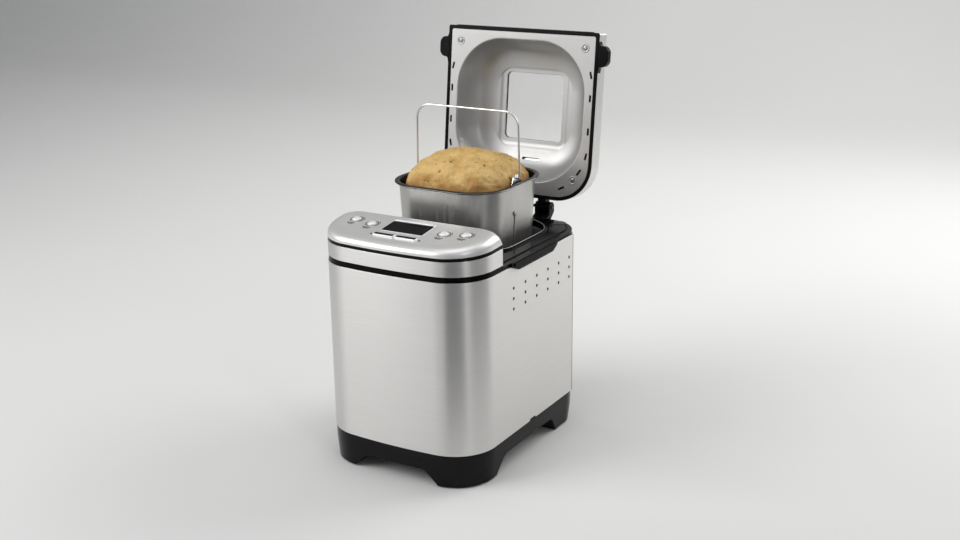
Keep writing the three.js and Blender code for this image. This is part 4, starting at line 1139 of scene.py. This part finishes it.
def bail():
    """Wire handle hooked into both brackets."""
    corners = [(BAIL_END, 0, 0), (BAIL_HALF, 0, 2.8), (BAIL_HALF - 2, BAIL_REACH, 22)]
    return looped_wire([(x, OVEN_Y, PIVOT_Z + z, bend) for x, z, bend in corners], 12, WIRE_R)


def paddle_shaft():
    """Spindle with a coupling disc and two prongs below."""
    form = rod(4, 134, 172) + turned(bevelled([(0, 134), (16, 134), (16, 137.6), (0, 137.6)], 0.4))
    return form + block(-3, 3, 7.5, 15, 127.4, 135) + block(-3, 3, -15, -7.5, 127.4, 135)


def paddle():
    """Hub with a blind bore and one blade."""
    hub = turned([(BORE_R, 151), (8.9, 151), (9.5, 151.8), (8.6, 166), (7.8, 175), (6.6, 177), (4, 177.6),
                  (0, 177.6), (0, 172.6), (BORE_R, 172.6)], steps=40, ring=True)
    blade = filleted([(5, 151), (44, 151), (46, 158), (30, 180), (6, 174)], 4)
    return hub + prism(blade, -1.6, 1.6, 0.9, "y")


def lifted_piece(name, form, look, body, nodes=(), smooth=32):
    piece(name, form.moved(LIFTED), look, body, nodes, smooth)


lifted_piece("pan_tub", pan_shell(), PAN_ALUMINIUM, "pan", ["bread_pan"], 40)
lifted_piece("pan_lining", pan_coating(), NONSTICK, "pan")
lifted_piece("pan_rim", pan_rim_bead(), RIM_METAL, "pan", smooth=50)
lifted_piece("pan_side_ribs", pan_ribs(), PAN_ALUMINIUM, "pan", smooth=50)
lifted_piece("handle_plates", handle_brackets(), CHROME, "pan",
             ["handle_bracket_left", "handle_bracket_right"])
lifted_piece("bail_wire", bail(), CHROME, "handle", ["pan_handle"], 50)
lifted_piece("paddle_spindle", paddle_shaft().at(0, OVEN_Y), BARE_STEEL, "paddle", ["paddle_shaft"])
lifted_piece("paddle_blade", paddle().at(0, OVEN_Y), NONSTICK, "paddle", ["kneading_paddle"])

# ---- lid (drawn shut, then opened) ----
OPENED = (Matrix.Translation((0, HINGE_Y, HINGE_Z)) @ Matrix.Rotation(-LID_OPEN, 4, "X")
          @ Matrix.Translation((0, -HINGE_Y, -HINGE_Z)))
LID_TOP = 367.0
GRIP_TOP = 320.0
LID_SCREWS = {"front": (108, -35), "rear": (100, 164)}
LID_SLOTS = ((119.9, 4.5, -14), (120.7, 39, 0), (120.7, 88.5, 0), (119.4, 126, 12), (109.4, 151, 33),
             (81.4, 178, 62))
RECESS_PROFILE = [
    (0, 0), (0.8, 0.15), (1.5, 0.6), (2.1, 1.4), (2.6, 2.7), (3.1, 4.6), (3.7, 8), (4.9, 14), (6.7, 21),
    (10.2, 27.5), (14, 33.5), (18, 38.4), (23, 42.3), (29, 45.3), (35, 47.3), (41, 48.7), (45, 49.3)]


def lid_cover():
    """Pillow-shaped steel cover: each ring is half width, front depth, rear depth and height."""
    profile = [(129.3, 0.4, 0.4, 311.5), (129.7, 0, 0, 312), (129.7, 0, 0, 332), (129.2, 0.1, 0.4, 336.6),
               (127.6, 0.3, 2, 341), (125, 0.6, 5, 345), (121, 1.2, 9, 348.4), (115, 2, 15, 351.5),
               (108, 4, 22, 353.8), (100, 7, 30, 355.8), (92, 12, 38, 358.2), (84, 18, 48, 360.8),
               (76, 29, 55, 363.4), (70, 38, 61, 365.2), (65, 44, 66, 366.4)]
    steps = 16

    def ring(half, front, rear, grow):
        front_r = LID_FRONT_R if front < 1 else LID_FRONT_R + front * 0.4
        rear_r = max(REAR_R - GAP - rear - grow, 8)
        return rounded_rect(grow - half, half - grow, LID_FRONT_Y + GAP + front + grow,
                            LID_REAR_Y - GAP - rear - grow, front_r, rear_r, steps)

    outside = [(*sizes, 0, z) for *sizes, z in profile]
    inside = [(*sizes, SHEET, z - SHEET if k else z) for k, (*sizes, z) in enumerate(profile)]
    edge = stack(lambda half: window_line(half, steps=steps), [
        (60, 0), (54, 0), (53.2, -0.3), (53, -SHEET), (60, -SHEET)], LID_TOP)
    return skin(stack(ring, outside) + edge + stack(ring, inside[::-1]), True)


def lid_rim():
    """Frame round the lid's foot with a ledge for the cover, two grips and two hinge lugs."""
    rim = skin(stack(lid_outline, [
        (0.5, LID_FOOT), (0, LID_FOOT + 0.5), (0, 310.8), (0.4, 311.2), (2.2, 311.2), (2.2, 313), (12, 313),
        (12, 311), (5, 311), (5, LID_FOOT + 0.4), (4.6, LID_FOOT)]), True)
    grip = filleted([(126.5, -46), (130.4, -46), (131.8, -40), (140.5, -39.4), (145.8, -33), (145.8, -15),
                     (140.5, -8.8), (131.8, -8), (130.4, 1), (126.5, 1)], 3.5)
    lug = filleted([(193.2, LID_FOOT), (203, LID_FOOT), (206, 311), (206, 325), (198.5, 320), (198.5, 311.2),
                    (193.2, 311.2)], 1)
    near = HINGE_X + 6
    far = HINGE_X + 20
    eye = turned([(2.9, near), (7, near), (7.5, near + 0.5), (7.5, far - 0.5), (7, far), (2.9, far)], "x", 40,
                 ring=True).at(0, HINGE_Y, HINGE_Z)
    return rim + both_sides(prism(grip, LID_FOOT, GRIP_TOP, 1.2) + prism(lug, near, far, 0.5, "x") + eye)


def recess_line(inset):
    return rounded_rect(inset - 112, 112 - inset, RECESS_Y - 109 + inset, RECESS_Y + 109 - inset,
                        max(79 - inset, 20), steps=24)


def lid_liner():
    """Inner plate with its deep recess, the window's frame, slots, a drain slot and screw holes."""
    thick = 1.0
    face = stack(recess_line, RECESS_PROFILE, PLATE_Z)
    face += stack(lambda half, radius: window_line(half, radius, 24), [
        (64, 15, -1.6), (62, 14, -1.5), (60, 12.6, -1.2), (58.4, 11.4, -0.7), (57, 10.4, -0.3),
        (55.4, 9.4, -0.1), (53.6, 8.6, 0), (50.9, 7.6, 0), (50.3, 7.2, 0.15), (50, 7, 0.6)], WINDOW_Z)
    back = [[(x, y, z + thick) for x, y, z in ring] for ring in face]
    edge = stack(lid_outline, [(5.7, 0), (5.3, 0.4), (5.3, thick)], PLATE_Z)
    form = (sleeve(face + back[::-1]) + sleeve(edge) + plate(lid_outline(5.7), recess_line(0), PLATE_Z)
            + plate(lid_outline(5.3), recess_line(0), PLATE_Z + thick))
    slot = prism(filleted(rect(1.7, 5.4), 1.1, 3), 300, 320, 0)
    tools = [both_sides(slot.moved(Matrix.Rotation(math.radians(lean), 4, "Z")).at(x, y))
             for x, y, lean in LID_SLOTS]
    tools += [both_sides(rod(1.9, 300, 320, edge=0, steps=20).at(x, y)) for x, y in LID_SCREWS.values()]
    tools.append(prism(rounded_rect(-13.5, 17.5, 142.4, 146.2, 1.4, steps=3), 345, 365, 0))
    return carve(form, *tools)


def screw_dishes():
    """Shallow pressed ring round each lid screw."""
    ring = turned([(4.1, 0.35), (6.3, 0.35), (6.8, 0.1), (6.4, -0.35), (5.6, -0.5), (4.6, -0.25)], steps=36,
                  ring=True)
    return sum((both_sides(ring.at(x, y, PLATE_Z - 0.35)) for x, y in LID_SCREWS.values()), Form())


def lid_screw():
    head = turned([(0, 308.5), (1.2, 308.42), (2.5, 308.6), (3.3, 309), (3.7, 309.3), (1.5, 309.35),
                   (1.5, 317), (0, 317)], steps=32)
    return cross_headed(head, 2.1, 0.4, 307, 309.1, "z")


def window_gasket():
    return skin(stack(window_line, [
        (56.9, 7.8, 0), (57.2, 8, -0.2), (58.3, 8.4, -0.2), (58.6, 8.5, 0.2), (58.6, 8.5, 2.5),
        (58.3, 8.4, 2.8), (57.2, 8, 2.8), (56.9, 7.8, 2.5)], GLASS_Z), True)


def window_lining():
    """Black surround behind the pane's edge."""
    rings = stack(window_line, [(49.9, 7, 2.8), (56.4, 8, 2.8), (56.4, 8, 3.1), (52.6, 7.4, 3.1)], GLASS_Z)
    return skin(rings + stack(window_line, [(52.6, 7.4, 0), (49.9, 7, 0)], LID_TOP), True)


def lid_piece(name, form, look, nodes=(), smooth=32):
    piece(name, form.moved(OPENED), look, "lid", nodes, smooth)


lid_piece("lid_cover_steel", lid_cover(), LID_STEEL, ["lid_cover"], 40)
lid_piece("lid_front_strip", block(-122, 112, LID_FRONT_Y - 0.7, LID_FRONT_Y + 0.6, 319, 330), SATIN_BLACK)
lid_piece("lid_frame", lid_rim(), SATIN_BLACK, ["lid_rim"])
lid_piece("lid_inner_plate", lid_liner(), LINER_SILVER, ["lid_liner"], 34)
lid_piece("lid_screw_dishes", screw_dishes(), LINER_SILVER, smooth=50)
for end, (x, y) in LID_SCREWS.items():
    for name, side in SIDES:
        node = f"lid_screw_{end}_{name}"
        lid_piece(node + "_head", lid_screw().at(side * x, y), BARE_STEEL, [node])
lid_piece("window_pane", prism(window_line(56.6), GLASS_Z, GLASS_Z + 2.6, 0.3), GLASS, ["window_glass"])
lid_piece("window_seal", window_gasket(), RUBBER, ["window_gasket"])
lid_piece("window_sleeve", window_lining(), MATTE_BLACK)

# ---- hinge ----
HINGE_WIDTH = high("hinge_block_right").x - HINGE_X
EAR = 5.4


def hinge_block():
    """Ribbed block bolted to the back, with two ears round the pin."""
    back = REAR_Y + GAP
    foot = [(back, 268), (202, 272), (207, 300), (207, 305), (back, 305)]
    ear = [(back, 300), (207, 300), (219, 311), (219, 322), (215, 327), (207, 327), (203, 322), (203, 309),
           (back, 305)]
    rib = filleted([(199, 262), (203.4, 270), (208.2, 300), (208.2, 304), (206, 304), (198, 266)], 1)
    web = [(206, 300), (219, 300), (219, 312), (216.6, 312.6), (213, 306), (206, 304)]
    form = (prism(filleted(foot, 1.5), 0, HINGE_WIDTH, 0.8, "x")
            + prism(filleted(web, 0.8), EAR - 0.8, HINGE_WIDTH - EAR + 0.8, 0.2, "x"))
    bore = rod(2.9, -4, 30, "x", 0).at(0, HINGE_Y, HINGE_Z)
    for near in (0, HINGE_WIDTH - EAR):
        form = form + carve(prism(filleted(ear, 2), near, near + EAR, 0.6, "x"), bore)
    for k in range(4):
        form = form + prism(rib, 6.6 + 3.9 * k, 8.4 + 3.9 * k, 0.4, "x")
    return form.at(HINGE_X)


def hinge_pin():
    end = high("hinge_pin").x
    return turned([(0, -end), (2.2, -end), (2.5, 0.4 - end), (2.5, end - 0.4), (2.2, end), (0, end)], "x", 32)


piece("hinge_left", hinge_block().mirrored(), SATIN_BLACK, "cabinet", ["hinge_block_left"])
piece("hinge_right", hinge_block(), SATIN_BLACK, "cabinet", ["hinge_block_right"])
piece("hinge_rod", hinge_pin().at(0, HINGE_Y, HINGE_Z), DARK_STEEL, "cabinet", ["hinge_pin"])

# ---- drive ----
BELT_Z = 74.0
LARGE_GROOVE = 40.0
SMALL_GROOVE = 8.0
FAN_BLADES = 7


def about_belt(half):
    """A profile drawn above the belt's middle plane, with its mirror image below."""
    return [(radius, BELT_Z - z) for radius, z in half] + [(radius, BELT_Z + z) for radius, z in half[::-1]]


def pulley(groove, flange):
    line = about_belt([(BORE_R, 7), (flange, 7), (flange, 4.4), (groove, 3.6)])
    return turned(filleted(line, 0.5, 3), steps=72, ring=True)


def large_pulley():
    turns = [2 * math.pi * k / 6 for k in range(6)]
    holes = [rod(6, 60, 90, edge=0, steps=28).at(24 * math.cos(t), 24 * math.sin(t)) for t in turns]
    return carve(pulley(LARGE_GROOVE, 44.5), *holes)


def bearing():
    line = [(BORE_R, 88.4), (21, 88.4), (21, 93), (12, 95), (12, 110), (21, 112), (21, 115.7),
            (BORE_R, 115.7)]
    return turned(filleted(line, 0.8, 3), ring=True)


def coupler():
    """Cupped disc with two prongs that turn the paddle's."""
    line = [(0, 123.9), (BORE_R, 123.9), (BORE_R, 118.6), (8, 118.6), (16, 122), (16, 126.6), (0, 126.6)]
    return turned(bevelled(line, 0.4)) + both_sides(block(7.5, 15, -3, 3, 126, 134))


def belt():
    """Belt round both pulleys, on two arcs and their outer tangents."""
    dx = MOTOR_X
    dy = MOTOR_Y - OVEN_Y
    heading = math.degrees(math.atan2(dy, dx))
    lean = math.degrees(math.acos((LARGE_GROOVE - SMALL_GROOVE) / math.hypot(dx, dy)))

    def line(grow):
        return (arc(0, OVEN_Y, LARGE_GROOVE + grow, heading + lean, heading + 360 - lean, 60)
                + arc(MOTOR_X, MOTOR_Y, SMALL_GROOVE + grow, heading - lean, heading + lean, 20))

    return skin(stack(line, about_belt([(GAP, 2.6), (GAP + 0.4, 3), (GAP + 1.6, 3), (GAP + 2, 2.6)])), True)


def fan():
    form = pipe(BORE_R, 9, 160, 176, 32)
    blade = prism([(7.5, 161), (30, 161), (31, 163), (31, 172), (29, 174), (7.5, 174)], -0.8, 0.8, 0.3, "y")
    for k in range(FAN_BLADES):
        form = form + blade.moved(Matrix.Rotation(2 * math.pi * k / FAN_BLADES, 4, "Z"))
    return form


piece("belt_pulley_large", large_pulley().at(0, OVEN_Y), MATTE_BLACK, "drive", ["large_pulley"])
piece("belt_pulley_small", pulley(SMALL_GROOVE, 12).at(MOTOR_X, MOTOR_Y), BARE_STEEL, "motor",
      ["motor_pulley"])
piece("drive_axle", rod(4, 64, 123.5).at(0, OVEN_Y), BARE_STEEL, "drive", ["drive_shaft"])
piece("motor_axle", rod(4, 64, 182).at(MOTOR_X, MOTOR_Y), BARE_STEEL, "motor", ["motor_shaft"])
piece("bearing_casting", bearing().at(0, OVEN_Y), PAN_ALUMINIUM, "cabinet", ["bearing_housing"])
piece("coupler", coupler().at(0, OVEN_Y), BARE_STEEL, "drive", ["drive_coupler"])
piece("belt", belt(), RUBBER, "cabinet", ["drive_belt"])
piece("cooling_fan", fan().at(MOTOR_X, MOTOR_Y), MATTE_BLACK, "motor", ["motor_fan"])

# ---- loaf ----
LOAF_HALF_X = 79.5
LOAF_HALF_Y = 83.0
LOAF_SQUARE = 3.2
LOAF_AROUND = 220
LOAF_CROWN = 64
LOAF_RIM = PAN_RIM - 5
CAVITY_R = 50.0
CAVITY_TOP = 188.0
PITS = 64
LOAF_TURNS = [2 * math.pi * k / LOAF_AROUND for k in range(LOAF_AROUND)]


def loaf_ring(size, square, z):
    """Ring between a circle and a square, by its power, about the oven's axis."""
    ring = []
    for t in LOAF_TURNS:
        c, s = math.cos(t), math.sin(t)
        reach = size * (abs(c) ** square + abs(s) ** square) ** (-1 / square)
        ring.append(Vector((LOAF_HALF_X * c * reach, OVEN_Y + LOAF_HALF_Y * s * reach, z)))
    return ring


def smooth_loaf():
    """A risen loaf filling the pan, hollow underneath where the paddle turns."""
    rings = []
    for k in range(LOAF_CROWN + 1):
        share = math.sin(math.pi / 2 * k / LOAF_CROWN)
        lift = (1 - share ** 3.1) ** 0.6
        rings.append(loaf_ring(share, 2 + (LOAF_SQUARE - 2) * share, LOAF_RIM + (LOAF_TOP - LOAF_RIM) * lift))
    for size, z in ((0.992, LOAF_RIM - 4), (0.985, LOAF_RIM - 9), (0.972, LOAF_RIM - 30), (0.945, 210),
                    (0.925, 170), (0.915, 152), (0.895, 146), (0.85, 144), (0.78, 143.6)):
        rings.append(loaf_ring(size, LOAF_SQUARE, z))
    for radius, z in ((CAVITY_R, 143.6), (CAVITY_R, CAVITY_TOP - 12), (CAVITY_R - 6, CAVITY_TOP - 2),
                      (CAVITY_R / 2, CAVITY_TOP), (0, CAVITY_TOP)):
        rings.append([Vector((radius * math.cos(t), OVEN_Y + radius * math.sin(t), z)) for t in LOAF_TURNS])
    return skin(rings)


def scattered_pits(form):
    """Small pits on the crown: centre, radius and depth."""
    seeds = random.Random(11)
    pits = []
    for _ in range(PITS):
        turn = seeds.uniform(0, 2 * math.pi)
        share = math.sqrt(seeds.uniform(0.02, 0.95))
        ring = int(LOAF_CROWN * math.asin(share) / (math.pi / 2))
        index = ring * LOAF_AROUND + int(turn / (2 * math.pi) * LOAF_AROUND)
        radius = seeds.uniform(0.9, 2.3)
        pits.append((form.points[index].copy(), radius, seeds.uniform(0.8, 2.2)))
    return pits


def loaf():
    """The loaf with its crust swollen, creased and pitted, and how deep each point lies in a pit, which sets
    the painted shade there.
    """
    form = smooth_loaf()
    pits = scattered_pits(form)
    pit_shade = [0.0] * len(form.points)
    for index, point in enumerate(form.points[:(LOAF_CROWN + 4) * LOAF_AROUND]):
        share = min(1.0, max(0.0, (point.z - LOAF_RIM + 6) / 14))
        out = Vector((point.x / LOAF_HALF_X, (point.y - OVEN_Y) / LOAF_HALF_Y, 0.9)).normalized()
        broad = noise.fractal(point / 34 + Vector((3, 1, 7)), 0.7, 2.1, 3) * 3.4
        crumb = noise.fractal(point / 6, 0.75, 2.2, 4)
        crease = max(0.0, 0.18 - abs(noise.noise(point / 21 + Vector((9, 2, 4))))) * -9.0
        pit = max(max(0.0, 1 - (point - centre).length / radius) * depth for centre, radius, depth in pits)
        pit_shade[index] = min(1.0, pit * 2.2)
        form.points[index] = point + out * (broad + crumb + crease - pit) * share
    return form, pit_shade


def loaf_piece():
    form, pit_shade = loaf()
    lifted = form.moved(LIFTED)
    obj = piece("loaf", lifted, CRUST, "pan", smooth=60)
    # Each point's pit depth, stored for the crust's painted shade in the pits.
    marks = obj.data.attributes.new("pit", "FLOAT", "POINT")

    def key(x, y, z):
        return round(x, 1), round(y, 1), round(z, 1)

    pit_shade_at = {key(*point): depth for point, depth in zip(lifted.points, pit_shade)}
    for index, vertex in enumerate(obj.data.vertices):
        x, y, z = vertex.co / MM
        marks.data[index].value = pit_shade_at.get(key(x, y - SHIFT, z), 0.0)


loaf_piece()

# ---- CAD nodes that stay ----
KEPT = {
    "bottom_plate": BARE_STEEL, "control_board": CIRCUIT, "power_board": CIRCUIT,
    "chassis_bracket": BARE_STEEL, "motor_body": BARE_STEEL, "element_clip_left": BARE_STEEL,
    "element_clip_right": BARE_STEEL, "pan_clip_left": BARE_STEEL, "pan_clip_right": BARE_STEEL,
}
for node, look in KEPT.items():
    kept = frame["nodes"][node]
    kept.data.materials.clear()
    kept.data.materials.append(look)
    soften(kept, 0.25)


# ---- floor, light and camera (metres) ----
def staged(name, points, look):
    """A strip through pairs of points, which belongs to the studio."""
    faces = [(k, k + 1, k + 3, k + 2) for k in range(0, len(points) - 2, 2)]
    mesh = bpy.data.meshes.new(name)
    mesh.from_pydata(points, [], faces)
    mesh.shade_smooth()
    mesh.materials.append(look.material)
    obj = bpy.data.objects.new(name, mesh)
    bpy.context.scene.collection.objects.link(obj)
    return obj


def sweep():
    """Pale floor that curves up into a pale wall behind."""
    radius, back, half, height = 1.6, 2.4, 9.0, 7.0
    turns = [math.pi / 2 * k / 24 for k in range(25)]
    line = [(-half, 0.0), (-3.0, 0.0), (0.0, 0.0)]
    line += [(back + radius * math.sin(t), radius - radius * math.cos(t)) for t in turns]
    line += [(back + radius, height)]
    look = Look("sweep", Roughness=0.8)
    cloud = look.noise(0.8, detail=2)
    look.colour(look.blend(look.spread(cloud), (0.72, 0.715, 0.7, 1), (0.74, 0.735, 0.72, 1)))
    staged("sweep", [(side * half, y, z) for y, z in line for side in (-1, 1)], look)


def flag(name, from_azimuth, to_azimuth, near, far):
    """Dark card lying out of sight, which puts a dark band in the steel's corner."""
    turns = [math.radians(from_azimuth + (to_azimuth - from_azimuth) * k / 8) for k in range(9)]
    look = Look(name, Roughness=0.9)
    look.colour(look.blend(look.noise(3), grey(0.06), grey(0.07)))
    corners = [(d * math.sin(t), -d * math.cos(t), 0.002) for t in turns for d in (near, far)]
    card = staged(name, corners, look)
    card.visible_camera = False
    card.visible_diffuse = False
    card.visible_shadow = False


def direction(azimuth, elevation):
    """Unit vector from the machine: azimuth 0 points to the front and 90 to the right."""
    a = math.radians(azimuth)
    e = math.radians(elevation)
    return Vector((math.sin(a) * math.cos(e), -math.cos(a) * math.cos(e), math.sin(e)))


def softbox(name, azimuth, elevation, distance, width, height, power, aim=None):
    """Area light round the machine's middle, facing it unless aimed elsewhere."""
    data = bpy.data.lights.new(name, "AREA")
    data.shape = "RECTANGLE"
    data.size = width
    data.size_y = height
    data.energy = power
    lamp = bpy.data.objects.new(name, data)
    back = direction(azimuth, elevation)
    lamp.location = Vector((0, 0, 0.28)) + back * distance
    lamp.rotation_mode = "QUATERNION"
    ahead = Vector(aim) - lamp.location if aim else -back
    lamp.rotation_quaternion = ahead.to_track_quat("-Z", "Y")
    bpy.context.scene.collection.objects.link(lamp)


def camera():
    """The camera stands to the right of the front and looks down a little."""
    azimuth = 30.77
    elevation = 17.35
    roll = math.radians(-0.70)
    place = (0.9576, -1.5770, 0.8244)
    back = direction(azimuth, elevation)
    right = direction(azimuth + 90, 0)
    up = back.cross(right)
    x_axis = right * math.cos(roll) + up * math.sin(roll)
    y_axis = up * math.cos(roll) - right * math.sin(roll)
    data = bpy.data.cameras.new("camera")
    data.lens = 48.5
    data.sensor_width = 36
    data.clip_start = 0.05
    data.clip_end = 60
    obj = bpy.data.objects.new("camera", data)
    turn = Matrix((x_axis, y_axis, back)).transposed().to_4x4()
    obj.matrix_world = Matrix.Translation(place) @ turn
    bpy.context.scene.collection.objects.link(obj)
    bpy.context.scene.camera = obj


def world():
    made = bpy.data.worlds.new("studio")
    made.use_nodes = True
    background = made.node_tree.nodes["Background"]
    background.inputs["Color"].default_value = (0.93, 0.96, 1.0, 1)
    background.inputs["Strength"].default_value = 0.3
    bpy.context.scene.world = made


sweep()
flag("flag_front", 12, 50, 0.5, 2.6)
flag("flag_side", 65, 114, 0.8, 3.0)
softbox("key", -42, 30, 2.4, 1.5, 1.5, 33)
softbox("fill", 145, 34, 2.3, 1.3, 1.5, 22)
softbox("strip", 58, 26, 2.6, 0.07, 1.5, 5)
softbox("top", 10, 84, 2.3, 1.8, 1.8, 12)
softbox("backdrop", 180, 70, 2.6, 4.0, 0.8, 60, (0, 3.6, 1.5))
world()
camera()
bpy.context.scene.view_settings.view_transform = "Standard"
